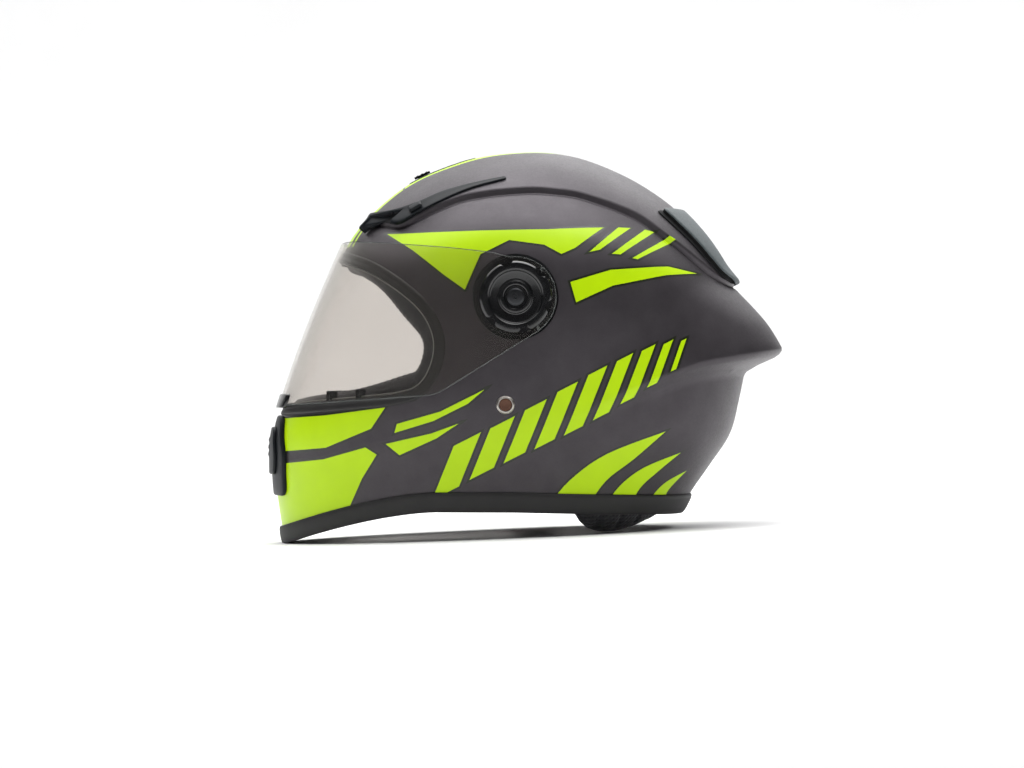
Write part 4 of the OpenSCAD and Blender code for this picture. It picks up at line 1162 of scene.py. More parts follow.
def side_shapes():
    """Closed outlines of the side view."""
    shapes = [
        # Blade over the pivot, and the slats behind it
        [(-86, 43.5), (-40, 43), (20, 44), (58, 46), (38, 31), (29, 27), (18, 33), (-4, 36), (-22, 27),
         (-32, 4), (-46, 14), (-66, 30)],
        [(45, 28), (54, 30), (76, 46.5), (66, 46.5)], [(60, 27.5), (67, 27), (92, 44.5), (84, 46)],
        [(73, 25), (78, 24), (104, 38), (99, 41)],
        # Long spear under the blade
        [(34, 10), (60, 18), (98, 21), (122, 17), (96, 14), (62, 7), (38, -4)],
        # Short spears on the chin bar
        [(-76, -80), (-48, -72), (-16, -56), (-30, -68), (-52, -79), (-78, -87)],
        [(-84, -93), (-54, -86), (-32, -78), (-50, -90), (-74, -101)],
    ]
    slope, lean, between = 27, 68, 5.5
    run = np.array([math.cos(math.radians(slope)), math.sin(math.radians(slope))])
    at = np.array([-47.0, -112.0])
    for width, tall in ((21, 39), (19, 37), (17, 38), (16, 41), (15, 43), (13, 42), (11, 38), (8, 31),
                        (5, 22)):
        at = at + run * width / 2
        shapes.append(bar(at, slope, width, tall, lean))
        at = at + run * (width / 2 + between)
    return [np.array(s, float) for s in shapes]


def swept_stripes():
    """Curved stripes that rise from the lower edge to the tail."""
    pairs = [
        ([(20, -133), (34, -116), (58, -99), (98, -84)],
         [(98, -84), (76, -103), (58, -117), (46, -134)]),
        ([(56, -134), (66, -120), (82, -108), (108, -98)],
         [(108, -98), (92, -111), (80, -122), (74, -134)]),
        ([(83, -134), (90, -124), (98, -117), (112, -110)],
         [(112, -110), (101, -121), (97, -127), (95, -134)])]
    return [np.vstack([flowing(a, 5)[:-1], flowing(b, 5)]) for a, b in pairs]


def chin_shapes():
    """Left halves of the panels that run round the chin."""
    return [
        [(front_y(-76.5), -76.5), (-150, -76.8), (-122, -74.6), (-82, -69.3), (-92, -84), (-122, -96.5),
         (front_y(-100), -100)],
        [(front_y(-107), -107), (-124, -103), (-96, -95), (-88, -100), (-98, -116), (-108, -138),
         (-118, -143), (front_y(-156), -156)]]


def crown_stripe():
    """Left half of the stripe over the crown: side and lengthwise places from above."""
    return [(0.01, -73), (26, -73), (28, -40), (26, -4), (21, 22), (12, 38), (0.01, 47)]


def brow_shapes():
    """Left halves of the shapes of the front view."""
    panel = [(0.01, 34), (30, 34), (27, 58), (25.5, 76), (25, 81), (0.01, 81)]
    slim = [(36, 34), (40.5, 34), (35, 56), (31.5, 58)]
    return panel, slim


def livery():
    """All painted loops as slices and angles, the outline's outer loop before the colour's loop."""
    loops = [traced(from_side, s, closed=True) for s in side_shapes() + swept_stripes()]
    loops += [both_halves(traced(from_side, s)) for s in chin_shapes()]
    panel, slim = brow_shapes()
    loops.append(both_halves(traced(front_find, panel)))
    loops.append(traced(front_find, slim, closed=True))
    loops.append(both_halves(traced(from_above, crown_stripe())))
    line_out, line_in = 0.85, -0.55
    paint = []
    for loop in loops:
        paint += [widened(loop, line_out), widened(loop, line_in)]
    return paint


def port_loop():
    """The opening for the eyes."""
    line = rounded(PORT[1:-1], 9, steps=6, closed=False)
    line = np.vstack([[front_y(27.0), 27.0], line, [front_y(-71.0), -71.0]])
    return both_halves(traced(from_side, line, 2.4))


def pivot_ring(radius):
    """A circle round the visor pivot in the side view."""
    a = np.linspace(0, 2 * math.pi, 49)[:-1]
    return np.stack(from_side(radius * np.cos(a), radius * np.sin(a)), -1)


CROWN_PLATE = rounded([(-15, -70), (15, -70), (17, -52), (12, -26), (-12, -26), (-17, -52)], 5)
CHIN_PLATE = rounded([(-34, -76), (34, -76), (42, -100), (36, -128), (-36, -128), (-42, -100)], 7)
SHUTTER = rounded([(-26, -84), (26, -84), (31, -100), (27, -114), (-27, -114), (-31, -100)], 5)
REAR_PLATE = rounded([(-57, 57), (57, 57), (57, 46), (52, 28), (42, 14), (27, 10), (-27, 10), (-42, 14),
                      (-52, 28), (-57, 46)], 4)
DEFLECTOR = rounded([(-44, -62), (-20, -54), (20, -54), (44, -62), (36, -92), (-36, -92)], 10)


def right_part(outline):
    """The part of a symmetric outline with positive first coordinate, as a line from middle to middle."""
    pts = dense(outline, 1.5)
    out = []
    for a, b in zip(pts, np.roll(pts, -1, axis=0)):
        if a[0] > 0:
            out.append(a)
        if (a[0] > 0) != (b[0] > 0):
            f = a[0] / (a[0] - b[0])
            out.append(np.array([0.01, a[1] + (b[1] - a[1]) * f]))
    out = np.array(out)
    cuts = [i for i, p in enumerate(out) if p[0] <= 0.011]
    start = cuts[0] if cuts[1] - cuts[0] > 1 else cuts[1]
    return np.roll(out, -start, axis=0)


def box_outline(x, z, wide, tall, corner=1.5):
    """A rectangle with rounded corners."""
    pts = [(x - wide / 2, z - tall / 2), (x + wide / 2, z - tall / 2), (x + wide / 2, z + tall / 2),
           (x - wide / 2, z + tall / 2)]
    return rounded(pts, corner, 3)


def build_shell():
    holes = [port_loop(), both_halves(traced(from_above, right_part(grown(CROWN_PLATE, 0.3)))),
             pivot_ring(ARM_RADIUS + 1.2),
             traced(front_find, box_outline(14, -96, 18, 12), closed=True)]
    crown = np.arange(0.0, 166.0, 1.5)
    back = np.arange(0.0, 115.0, 1.5)
    _, lip, _ = tail_sizes(back)
    lines = [np.stack([cross_at(crown_z, h, crown), crown], -1)
             for h in (1.2, 0.5, -0.45, -1.4, -2.0, -2.7, -3.6)]
    lines += [np.stack([cross_at(tail_z, h, back), back], -1)
              for h in (-2.6, -1.0, 0.8, 2.6, lip * 0.5, lip - 2.6, lip - 0.9, lip + 0.9, lip + 2.6)]
    half = half_sheet(rim_rows(3.0), holes, livery(), lines)
    kinds = np.where(half[3] < 0, 0, np.where(half[3] % 2 == 0, 2, 1))
    return whole_layer("outer_shell_painted", half, outer_face, base_layer(SHELL_WALL),
                       [gunmetal, neon, line_paint], kinds=kinds, slot="shell_paint",
                       replaces=["outer_shell"])


# Lower edge, gasket and lining band

def build_trim():
    """Rubber bead round the shell's lower edge, pressed flat where the helmet stands."""
    section = np.array([(0.3, 1.0), (1.1, 0.99), (1.75, 0.93), (2.2, 0.8), (2.4, 0.62), (2.5, 0.4),
                        (2.35, 0.2), (1.9, 0.06), (1.2, 0.0), (-3.0, 0.0), (-5.0, 0.02), (-6.2, 0.1),
                        (-6.8, 0.26), (-6.9, 0.5), (-6.2, 0.66), (-4.4, 0.74)])
    angle = np.arange(0, 360, 2.0)
    rings = [inside(cross_at(rim_z, high * TRIM_HEIGHT, angle), angle, np.full(angle.shape, -out))
             for out, high in section]
    points = placed(np.stack(rings, 1).reshape(-1, 3))
    points[:, 2] = np.maximum(points[:, 2], 0)
    faces = lace(len(angle), len(section), wrap_rows=True)
    return outward(piece("lower_trim_bead", points, faces, rubber, slot="edge_rubber", ready=True,
                         replaces=["lower_edge_trim"], crease=50))


def along_port():
    """Places, outward ways and sideways directions round the opening for the eyes."""
    loop = port_loop()
    p = outside(loop[:, 0], loop[:, 1])
    out = way_out(shell_point, loop[:, 0], loop[:, 1])
    for _ in range(2):
        p = (np.roll(p, 1, axis=0) + 2 * p + np.roll(p, -1, axis=0)) / 4
        out = unit(np.roll(out, 1, axis=0) + 2 * out + np.roll(out, -1, axis=0))
    ahead = unit(np.roll(p, -1, axis=0) - np.roll(p, 1, axis=0))
    way = 1 if turning(disc(loop[:, 0], loop[:, 1])) < 0 else -1
    return p, out, unit(np.cross(ahead, out)) * way


def build_port_lining(places, out, side):
    """The ribbed cloth border behind the seal, deepest at the temples, as a stuffed roll."""
    rearness = smooth_step((places[:, 1] + 112) / 46)
    temple = np.exp(-((places[:, 1] + 62) / 22) ** 2 - ((places[:, 2] + 4) / 20) ** 2)
    below = 1 - smooth_step((places[:, 2] + 66) / 14)
    reach = (5.2 + 7.4 * rearness + 3.0 * temple) * (1 - below) + (9.5 + 5 * rearness) * below
    section = flowing([(-0.2, -5.0), (-0.55, -5.4), (-0.9, -7.6), (-1.0, -12.0), (-0.8, -19.0),
                       (-0.3, -27.0), (0.15, -32.5), (0.3, -36.5)], 3)
    section = np.vstack([section, [(0.45, -36.0), (0.42, -29.0), (0.2, -20.0), (0.1, -6.2)]])
    run = np.cumsum(np.linalg.norm(places - np.roll(places, 1, axis=0), axis=1))
    rib_spacing, rib_height = 5.0, 0.35
    rib = rib_height * np.cos(run * 2 * math.pi / rib_spacing)
    rings = (places[:, None] + side[:, None] * (section[None, :, :1] * (reach + rib)[:, None, None])
             + out[:, None] * section[None, :, 1:])
    faces = lace(len(places), len(section), wrap_rows=True)
    outward(piece("eye_port_lining", rings.reshape(-1, 3), faces, knit, slot="lining_cloth", crease=60))


def build_gasket():
    p, out, side = along_port()
    lip = [(4.5, 0.1), (4.2, 0.6), (3.5, 0.85), (2.4, 0.9), (1.2, 0.6), (0.3, 0.65), (-0.9, 1.0),
           (-2.1, 0.9), (-2.8, 0.4), (-3.0, -0.4), (-3.0, -5.0), (-2.3, -5.6), (2.6, -5.6), (2.6, -4.2),
           (-0.1, -4.1), (-0.1, -0.1)]
    swept("eye_port_seal", p, out, side, lip, rubber, slot="edge_rubber", replaces=["eye_port_gasket"],
          crease=55)
    build_port_lining(p, out, side)
    cord = [(-3.5 + 0.5 * math.cos(a), -1.7 + 0.5 * math.sin(a)) for a in np.arange(0, 6.2, 0.9)]
    swept("eye_port_piping", p, out, side, cord, piping, slot="lining_cloth", crease=0)
    # Two short ribs on each side, behind the lens and just above the opening's lower edge
    for k, (y, z) in enumerate([(-120.0, -62.4), (-100.5, -61.4)]):
        t, angle = from_side(y, z)
        for name, mirrored in (("left", 1), ("right", -1)):
            centre = shell_point(t, angle)
            flat_out = unit(way_out(shell_point, t, angle) * [1, 1, 0])
            round_way = np.cross([0, 0, 1], flat_out)
            rings = []
            for up, wide, high in ((-4.4, 1.2, 0.5), (-4.0, 1.7, 1.1), (2.4, 1.7, 1.1), (3.0, 1.2, 0.5)):
                corners = [(-wide, -6.0), (wide, -6.0), (wide, high * 0.6), (wide * 0.6, high),
                           (-wide * 0.6, high), (-wide, high * 0.6)]
                ring = [centre + round_way * w + flat_out * h + np.array([0, 0, up]) for w, h in corners]
                rings.append([(mirrored * q[0], q[1], q[2]) for q in ring])
            lofted("port_rib_%d_%s" % (k + 1, name), rings, abs_black, slot="edge_rubber", crease=30)


# Visor

LENS_OUT = PIVOT_X + LENS_GAP + LENS_WALL
LENS_BACK = -8.0
LENS_SQUARE = 2.15
QUARTER = 198.0
HUB_HOLE = 18.6


def lens_front(z):
    u = (z - 37.4) / (-69.2 - 37.4)
    return -114.5 + u * (-156.2 + 114.5) - 8 * u * (1 - u)


def lens_point(q, z, deep=0.0):
    """A point of the lens: q runs round it from the middle to each arm, deep is under its outer face."""
    a = np.radians(np.minimum(np.abs(q) / QUARTER, 1) * 90)
    x = np.sign(q) * (LENS_OUT - deep) * np.sin(a) ** (2 / LENS_SQUARE)
    front = lens_front(z) + deep
    y = LENS_BACK - (LENS_BACK - front) * np.cos(a) ** (2 / LENS_SQUARE)
    y = y + np.maximum(0, np.abs(q) - QUARTER)
    return np.stack([x, y, np.broadcast_to(z, x.shape)], -1)


def lens_way(q, z):
    round_way = lens_point(q + 0.6, z) - lens_point(q - 0.6, z)
    up_way = lens_point(q, z + 0.6) - lens_point(q, z - 0.6)
    return unit(np.cross(round_way, up_way))


def lens_flat(y, z):
    """Where a place of the side view lies on the flattened lens, left half."""
    part = np.clip((LENS_BACK - y) / (LENS_BACK - lens_front(z)), 0, 1) ** (LENS_SQUARE / 2)
    curve = np.degrees(np.arccos(part)) / 90 * QUARTER
    return np.stack([np.where(y < LENS_BACK, curve, QUARTER + y - LENS_BACK), z], -1)


def evened(line, step):
    """An open line with points an even distance apart."""
    run = np.concatenate([[0], np.cumsum(np.linalg.norm(np.diff(line, axis=0), axis=1))])
    at = np.linspace(0, run[-1], int(run[-1] / step) + 1)
    return np.stack([np.interp(at, run, line[:, k]) for k in range(line.shape[1])], -1)


def lens_outline():
    """The lens's edge on the flattened lens, as one closed loop."""
    arm = [(ARM_RADIUS * math.cos(math.radians(a)), ARM_RADIUS * math.sin(math.radians(a)))
           for a in range(98, -58, -6)]
    side = [(-113.5, 37.4), (-108, 37.3), (-40, 31.6), (-14, 28.5), (-9, 27.0)] + arm
    side += [(14, -22), (-44, -58), (-52, -62.2), (-66, -63.4), (-150, -69.0), (-155.5, -69.2)]
    side = rounded(side, 7, closed=False)
    share = np.linspace(0, 1, 12)[:-1, None]
    fine = np.vstack([a + (b - a) * share for a, b in zip(side, side[1:])] + [side[-1:]])
    flat = lens_flat(fine[:, 0], fine[:, 1])
    flat = np.vstack([[0.0, flat[0, 1]], flat, [0.0, flat[-1, 1]]])
    flat = evened(flat, 2.2)
    return np.vstack([flat, flat[-2:0:-1] * [-1, 1]])


def hub_hole(side):
    a = np.linspace(0, 2 * math.pi, 49)[:-1]
    flat = lens_flat(HUB_HOLE * np.cos(a), HUB_HOLE * np.sin(a))
    return flat * [side, 1]


def build_lens():
    outline = lens_outline()
    holes = [hub_hole(1), hub_hole(-1)]
    soft = 0.7
    loops = [outline] + holes
    for part in (0.3, 1.0):
        loops += [grown(outline, -soft * part)] + [grown(h, soft * part) for h in holes]
    low, high = outline.min(0), outline.max(0)
    grid = np.array([(u + (2 if j % 2 else 0), v) for j, v in enumerate(np.arange(low[1], high[1], 3.5))
                     for u in np.arange(low[0], high[0], 4.0)])
    plane, faces, middles = cut_sheet(grid, loops, [], in_plane, 1.6)
    keep = encloses(outline, middles)
    for hole in holes:
        keep &= ~encloses(hole, middles)
    plane, faces = trimmed(plane, faces, keep)
    near = edge_distance(plane, [outline] + holes)
    turn_in = soft * (1 - np.sqrt(1 - (1 - np.clip(near / soft, 0, 1)) ** 2))
    q, z = plane[:, 0], plane[:, 1]
    way = lens_way(q, z)
    top = lens_point(q, z) - way * turn_in[:, None]
    low = lens_point(q, z, LENS_WALL) + way * turn_in[:, None]
    faces = facing_out(top, faces, way)
    points, solid = with_back(top, low, faces)
    # Faces along the edge, on both faces' rounded rims and on the walls, get the pale edge finish: partly
    # the cut edge's look, partly a painted highlight
    rim = np.all(near[faces] < soft * 1.02, axis=1).astype(int)
    kinds = np.concatenate([rim, rim, np.ones(len(solid) - 2 * len(faces), int)])
    thing = piece("visor_lens_clear", points, solid, [lens_clear, lens_edge_highlight], body="visor",
                  slot="clear_lens", replaces=["visor_lens"], kinds=kinds, crease=0)
    rim_way = np.where((near < soft * 0.2)[:, None], 0.05, 1.0)
    normals = unit(np.vstack([way * rim_way, -way * rim_way])) @ TURN.T
    thing.data.normals_split_custom_set_from_vertices(normals.tolist())
    return thing


# Pivot on each side

# Places along X of the dark plate in the recess, the knob's underside and the centre screw's head
PLATE_SEAT = PIVOT_X - 3.0
KNOB_LOW = LENS_OUT + 1.4
SCREW_SEAT = KNOB_LOW + KNOB_RIM - 1.3
# A notch is part of a circle whose middle lies just past the rim. None is cut below the floor, or
# nearer the axis than the inner radius.
NOTCH_PLACE = KNOB_RADIUS + 1.0
NOTCH_RADIUS = 4.0
NOTCH_TURN = 45
NOTCH_SPACING = math.radians(60)
NOTCH_FLOOR = 1.5
NOTCH_INNER = 18


def notched(radius, height, a):
    """Radius of the knob at an angle: six finger notches are cut into its rim."""
    if height < NOTCH_FLOOR or radius < NOTCH_INNER:
        return radius
    away = (a - math.radians(NOTCH_TURN)) % NOTCH_SPACING
    away = min(away, NOTCH_SPACING - away)
    across = NOTCH_PLACE * math.sin(away)
    if abs(across) >= NOTCH_RADIUS:
        return radius
    return min(radius, NOTCH_PLACE * math.cos(away) - math.sqrt(NOTCH_RADIUS ** 2 - across ** 2))


def build_pivots():
    face = [(4.1, 0.1), (KNOB_RADIUS - 1, 0.0), (KNOB_RADIUS, 1.0), (KNOB_RADIUS, NOTCH_FLOOR - 0.01),
            (KNOB_RADIUS, NOTCH_FLOOR + 0.01), (KNOB_RADIUS, 3.7), (21.5, 4.95), (17.6, KNOB_RIM),
            (16.2, 3.5), (15.6, 3.35), (11.4, 2.9), (10.6, 3.0), (10.1, 4.35), (7.7, 4.4), (7.0, 3.4),
            (4.1, 3.3)]
    face = [face[0]] + [tuple(p) for p in rounded(face[1:-1], 0.5, 3, closed=False)] + [face[-1]]
    a = np.radians(np.arange(0, 360, 1.5))
    for name, side in (("left", 1), ("right", -1)):
        rings = []
        for radius, height in face:
            r = np.array([notched(radius, height, v) for v in a])
            x = np.full(a.shape, side * (KNOB_LOW + height))
            rings.append(np.stack([x, r * np.sin(a), r * np.cos(a)], -1))
        rings = np.array(rings)
        faces = lace(len(rings), len(a), wrap_rows=True)
        outward(piece("knob_disc_" + name, rings.reshape(-1, 3), faces, gloss_black, body="knob_" + name,
                      slot="knob_plastic", replaces=["pivot_knob_" + name], crease=32))
        plate = [(0.5, -1.6), (ARM_RADIUS + 1.6, -1.6), (ARM_RADIUS + 1.6, -0.05), (0.5, -0.05)]
        turned_body("pivot_recess_" + name, plate, (side * PLATE_SEAT, 0, 0), side, abs_black,
                    slot="bearing_plastic")
        head = rounded([(5.6, 0.0), (5.6, 0.8), (4.4, 1.55), (1.6, 1.75)], 0.5, 3, closed=False)
        turned_body("centre_screw_" + name, [(2.45, -8.0), (2.45, -0.05)] + [tuple(p) for p in head]
                    + [(1.5, 0.7), (0.2, 0.7)], (side * SCREW_SEAT, 0, 0), side, dark_screw, steps=48,
                    slot="knob_plastic", replaces=["pivot_screw_" + name])


# Vents

BROW_TOP = np.array([(-88, 55.5), (-75, 56), (-62, 61.5), (-48, 68.5), (-34, 72.5), (-20, 75.5), (-6, 78)])
BROW_LOW = np.array([(-98, 42.5), (-86, 49), (-75, 47.5), (-62, 55), (-46, 63), (-28, 70.5), (-6, 76.4)])


def along(line, u):
    """A place on a smooth line through points, at a share of its length."""
    step = u * (len(line) - 1)
    i = min(int(step), len(line) - 2)
    f = step - i
    a, b, c, d = (line[min(max(i + k, 0), len(line) - 1)] for k in (-1, 0, 1, 2))
    return curve_between(a, b, c, d, f)


def brow_spot(u, v, out):
    v = v * (0.8 + 0.2 * float(smooth_step((u - 0.12) / 0.2)))
    y, z = along(BROW_LOW, u) * (1 - v) + along(BROW_TOP, u) * v
    t, angle = from_side(y, z)
    return shell_point(t, angle) + way_out(shell_point, t, angle) * out


def brow_height(u):
    return 1.4 + 4.6 * (1 - float(smooth_step(u / 0.55))) ** 1.2


def brow_ring(u, edge, low, top):
    """One section of the strip: a flat back, rounded shoulders, and the air mouth under its roof."""
    m = float(smooth_step((u - 0.03) / 0.03) * (1 - smooth_step((u - 0.25) / 0.02)))
    section = [(edge, low), (1 - edge, low), (1 - edge, top * 0.35), (0.995 - edge, top * 0.62),
               (0.97 - edge, top * 0.84), (0.92 - edge, top * 0.97), (0.84 - edge, top),
               (0.74, top * 0.97), (0.7, top * (0.95 - 0.5 * m)),
               (0.68 + 0.05 * m, top * (0.94 - 0.78 * m)), (0.45, top * (0.94 - 0.8 * m)),
               (0.16 + edge, top * (1 - 0.87 * m)),
               (0.08 + edge, top * (0.97 - 0.86 * m)), (0.03 + edge, top * (0.9 - 0.8 * m)),
               (0.005 + edge, top * (0.8 - 0.72 * m)), (edge, top * (0.4 - 0.34 * m)),
               (edge, top * 0.16 * (1 - 0.7 * m) + 0.1)]
    return [brow_spot(u, v, h) for v, h in section]


def mirror_of(thing, name, replaces):
    """The same piece on the right side of the helmet."""
    mesh = thing.data.copy()
    mesh.name = name
    mesh.transform(Matrix.Diagonal((-1, 1, 1, 1)))
    mesh.flip_normals()
    twin = bpy.data.objects.new(name, mesh)
    bpy.context.scene.collection.objects.link(twin)
    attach(twin, "helmet")
    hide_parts(replaces)
    return twin


def build_brow_vents():
    rings = [brow_ring(0.19, 0.2, 0.2, brow_height(0.19) - 1.4),
             brow_ring(0.03, 0.1, 0.2, brow_height(0.03) - 1.2),
             brow_ring(0.0, 0.07, 0.2, brow_height(0) - 0.9),
             brow_ring(0.0, 0.02, 0.15, brow_height(0) - 0.3),
             brow_ring(0.006, 0.0, 0.15, brow_height(0.006))]
    rings += [brow_ring(u, 0.0, 0.15, brow_height(u)) for u in np.linspace(0.03, 0.97, 48)]
    rings += [brow_ring(0.99, 0.1, 0.15, 1.1), brow_ring(0.999, 0.3, 0.15, 0.6)]
    cols = len(rings[0])
    # The faces inside the air mouth get a darker copy of the plastic: painted shade
    kinds = np.zeros(len(rings) * cols, int)
    for i in range(len(rings) - 1):
        inner = 5 < i < 17
        for j in range(8, 15):
            kinds[i * cols + j] = inner
    left = lofted("brow_scoop_left", rings, [abs_vent, abs_painted_shade], slot="vent_plastic",
                  replaces=["brow_vent_left"], crease=38, kinds=kinds[:(len(rings) - 1) * cols + 2])
    mirror_of(left, "brow_scoop_right", replaces="brow_vent_right")


def softened(node, name, finish, width=0.5, body="helmet", steps=2):
    """A copy of a CAD piece with its edges rounded as a moulding's are."""
    mesh = frame["nodes"][node].data.copy()
    mesh.name = name
    work = bmesh.new()
    work.from_mesh(mesh)
    bmesh.ops.remove_doubles(work, verts=work.verts, dist=2e-5)
    bmesh.ops.dissolve_limit(work, angle_limit=math.radians(1.5), verts=work.verts, edges=work.edges)
    sharp = [e for e in work.edges if e.is_manifold and e.calc_face_angle(0) > math.radians(28)]
    bmesh.ops.bevel(work, geom=sharp, offset=width * MM, segments=steps, profile=0.6, affect="EDGES",
                    clamp_overlap=True)
    work.to_mesh(mesh)
    work.free()
    mesh.materials.clear()
    mesh.materials.append(finish)
    mesh.shade_smooth()
    mesh.set_sharp_from_angle(angle=math.radians(40))
    thing = bpy.data.objects.new(name, mesh)
    bpy.context.scene.collection.objects.link(thing)
    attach(thing, body)
    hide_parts(node)
    return thing


def shutter_top(x, z):
    """Height of the shutter: crowned, with three finger ridges across its middle."""
    ridges = sum(np.exp(-((z + low) / 1.3) ** 2) for low in (92, 96.5, 101))
    return 4.5 + 0.65 * ridges * (np.abs(x) < 15) * smooth_step((15 - np.abs(x)) / 3)


def rear_top(x, _):
    """Height of the smoked cover: a shallow hollow along its middle."""
    return 3.6 - 0.5 * np.exp(-(x / 9) ** 2)


def build_vents():
    build_brow_vents()
    slot_hole = box_outline(0, -101, 10, 19)
    inlets = [box_outline(s * 16, -98, 13, 10) for s in (-1, 1)]
    raised("chin_vent_frame", CHIN_PLATE, front_spot, 2.6, 0.15, abs_vent, edge=1.6,
           holes=[slot_hole] + inlets, slot="vent_plastic", replaces=["chin_vent_housing"])
    raised("chin_shutter_plate", SHUTTER, front_spot, shutter_top, 3.0, abs_vent, edge=1.1, step=1.3,
           body="chin_shutter", slot="vent_plastic", replaces=["chin_vent_shutter"])
    for name, s in (("left", 1), ("right", -1)):
        cells = [box_outline(s * 14 + i * 5, -96 + j * 5, 4, 4, 0.8)
                 for i in (-1, 0, 1) for j in (-0.5, 0.5)]
        raised("chin_grille_" + name, box_outline(s * 14, -96, 17.4, 11.4), front_spot, -0.6, -1.8,
               abs_black, edge=0.4, holes=cells, step=2.0, slot="bearing_plastic",
               replaces=["chin_vent_grille"])
    mouth = box_outline(0, -66, 20, 4)
    slot_hole = box_outline(0, -57.4, 5, 12.8, 1.2)
    raised("crown_plate", CROWN_PLATE, top_spot, 0.5, -2.4, abs_vent, edge=0.8, holes=[mouth, slot_hole],
           step=2.4, slot="vent_plastic", replaces=["crown_vent_cover"])
    raised("crown_vent_floor", grown(CROWN_PLATE, 0.8), top_spot, -2.6, -3.9, abs_black, edge=0.2, step=4,
           slot="vent_plastic")
    # The smoked cover's side walls are painted shade, and the wider dark plate under it is a painted shadow
    # that shows as a black gap round the cover
    raised("rear_vent_shade", REAR_PLATE, back_spot, rear_top, 0.2, [smoked, abs_painted_shade], edge=0.9, step=2.6,
           walls=1, slot="smoked_plastic", replaces=["rear_vent_cover"])
    raised("rear_vent_shadow_plate", REAR_PLATE * [1.075, 1.0], back_spot, 0.9, 0.15, abs_painted_shade, edge=0.5,
           step=4, slot="vent_plastic")
    for node, body in (("brow_slider_left", "brow_left"), ("brow_slider_right", "brow_right"),
                       ("crown_slider", "crown_slide")):
        softened(node, node + "_thumb", abs_vent, 0.35, body)
    softened("visor_tab", "visor_lift_tab", gloss_black, 0.5, "visor")


# Strap and its fittings

RIVET_Y, RIVET_Z = -6.4, -68.2
RIVET_SEAT = float(side_x(RIVET_Y, RIVET_Z)) - 0.6
STRAP_LEVEL = float(rim_z(0)) + 4.7
STRAP_TURN = float(side_x(RIVET_Y, -130)) - SHELL_WALL - 19
BUCKLE_X = 38.286 - STRAP_TURN
TONGUE_X = BUCKLE_X + 26


def build_rivets():
    ring = rounded([(RIVET_RADIUS, 0.0), (RIVET_RADIUS, 1.1), (4.9, 2.2), (4.25, 2.2), (4.12, 1.2)], 0.4, 3,
                   closed=False)
    for name, side in (("left", 1), ("right", -1)):
        centre = (side * RIVET_SEAT, RIVET_Y, RIVET_Z)
        turned_body("strap_rivet_ring_" + name, [(2.4, -9.0), (2.45, -0.02)] + [tuple(p) for p in ring]
                    + [(0.3, 1.2)], centre, side, bright_metal, slot="rivet_metal",
                    replaces=["strap_rivet_" + name], crease=35)
        dish = rounded([(4.1, 1.22), (4.05, 1.55), (3.6, 1.75), (1.6, 1.55), (0.2, 1.5)], 0.3, 3,
                       closed=False)
        turned_body("strap_rivet_core_" + name, [tuple(p) for p in dish], centre, side, copper,
                    slot="core_metal", replaces=["rivet_cores"], crease=30)


def webbing_path(last):
    """The webbing's middle line in the front view, from under the rivet to a place below the chin."""
    def wall(z):
        return float(side_x(RIVET_Y, z)) - SHELL_WALL
    drop = [(wall(z) - 2.2, z) for z in (-58, -68, -80, -92, -104, -113)]
    drop += [(wall(-120) - 3.6, -120), (wall(-126) - 6.4, -125.5), (STRAP_TURN + 8, STRAP_LEVEL + 0.6),
             (STRAP_TURN, STRAP_LEVEL)]
    path = flowing(drop + [(STRAP_TURN - 22, STRAP_LEVEL), (last, STRAP_LEVEL)], 6)
    return evened(path, 2.0)


def build_strap(name, side, last):
    path = webbing_path(last)
    ahead = unit(np.gradient(path, axis=0))
    across = np.stack([-ahead[:, 1], ahead[:, 0]], -1)
    half, thick = STRAP_WIDTH / 2, STRAP_WALL / 2
    section = [(-half, -0.4 * thick), (-half + 0.4, -0.9 * thick), (-half + 1.4, -thick),
               (half - 1.4, -thick), (half - 0.4, -0.9 * thick), (half, -0.4 * thick),
               (half, 0.4 * thick), (half - 0.4, 0.9 * thick), (half - 1.4, thick),
               (-half + 1.4, thick), (-half + 0.4, 0.9 * thick), (-half, 0.4 * thick)]
    rings = []
    for p, n in zip(path, across):
        ring = []
        for w, h in section:
            at = p + n * h
            ring.append((side * at[0], RIVET_Y + w, at[1]))
        rings.append(ring)
    lofted("chin_webbing_" + name, rings, webbing, slot="webbing", replaces=["strap_" + name], crease=60)
    threads = []
    faces = []
    for k in range(14, len(path) - 3, 2):
        for row in (-half + 2.2, half - 2.2):
            a, b = path[k] - across[k] * (thick + 0.1), path[k + 1] - across[k + 1] * (thick + 0.1)
            for at, lift in ((a, 0.0), ((a + b) / 2, -0.25), (b, 0.0)):
                n = across[k] * lift
                for w in (-0.3, 0.3):
                    threads.append((side * (at[0] + n[0]), RIVET_Y + row + w, at[1] + n[1]))
            s = len(threads) - 6
            faces += [(s, s + 1, s + 3, s + 2), (s + 2, s + 3, s + 5, s + 4)]
    piece("chin_webbing_stitches_" + name, threads, faces, thread, slot="webbing", crease=0)


def build_straps():
    build_strap("left", 1, TONGUE_X)
    build_strap("right", -1, STRAP_TURN - 26.3)
    softened("buckle_body", "buckle_housing", abs_black, 0.8, "helmet", 3)
    softened("buckle_lever", "buckle_release", abs_red, 0.5, "release_lever", 3)
    softened("buckle_tongue", "buckle_tongue_plate", abs_black, 0.5, "helmet")


def refinish():
    """Better materials on the CAD pieces whose shape is right."""
    coats = {"pivot_base_left": abs_black, "pivot_base_right": abs_black, "visor_hub_left": abs_black,
             "visor_hub_right": abs_black, "base_screws": steel, "strap_washers": steel,
             "buckle_pin": steel}
    for node, finish in coats.items():
        mesh = frame["nodes"][node].data
        for k in range(len(mesh.materials)):
            mesh.materials[k] = finish


# Foam and padding

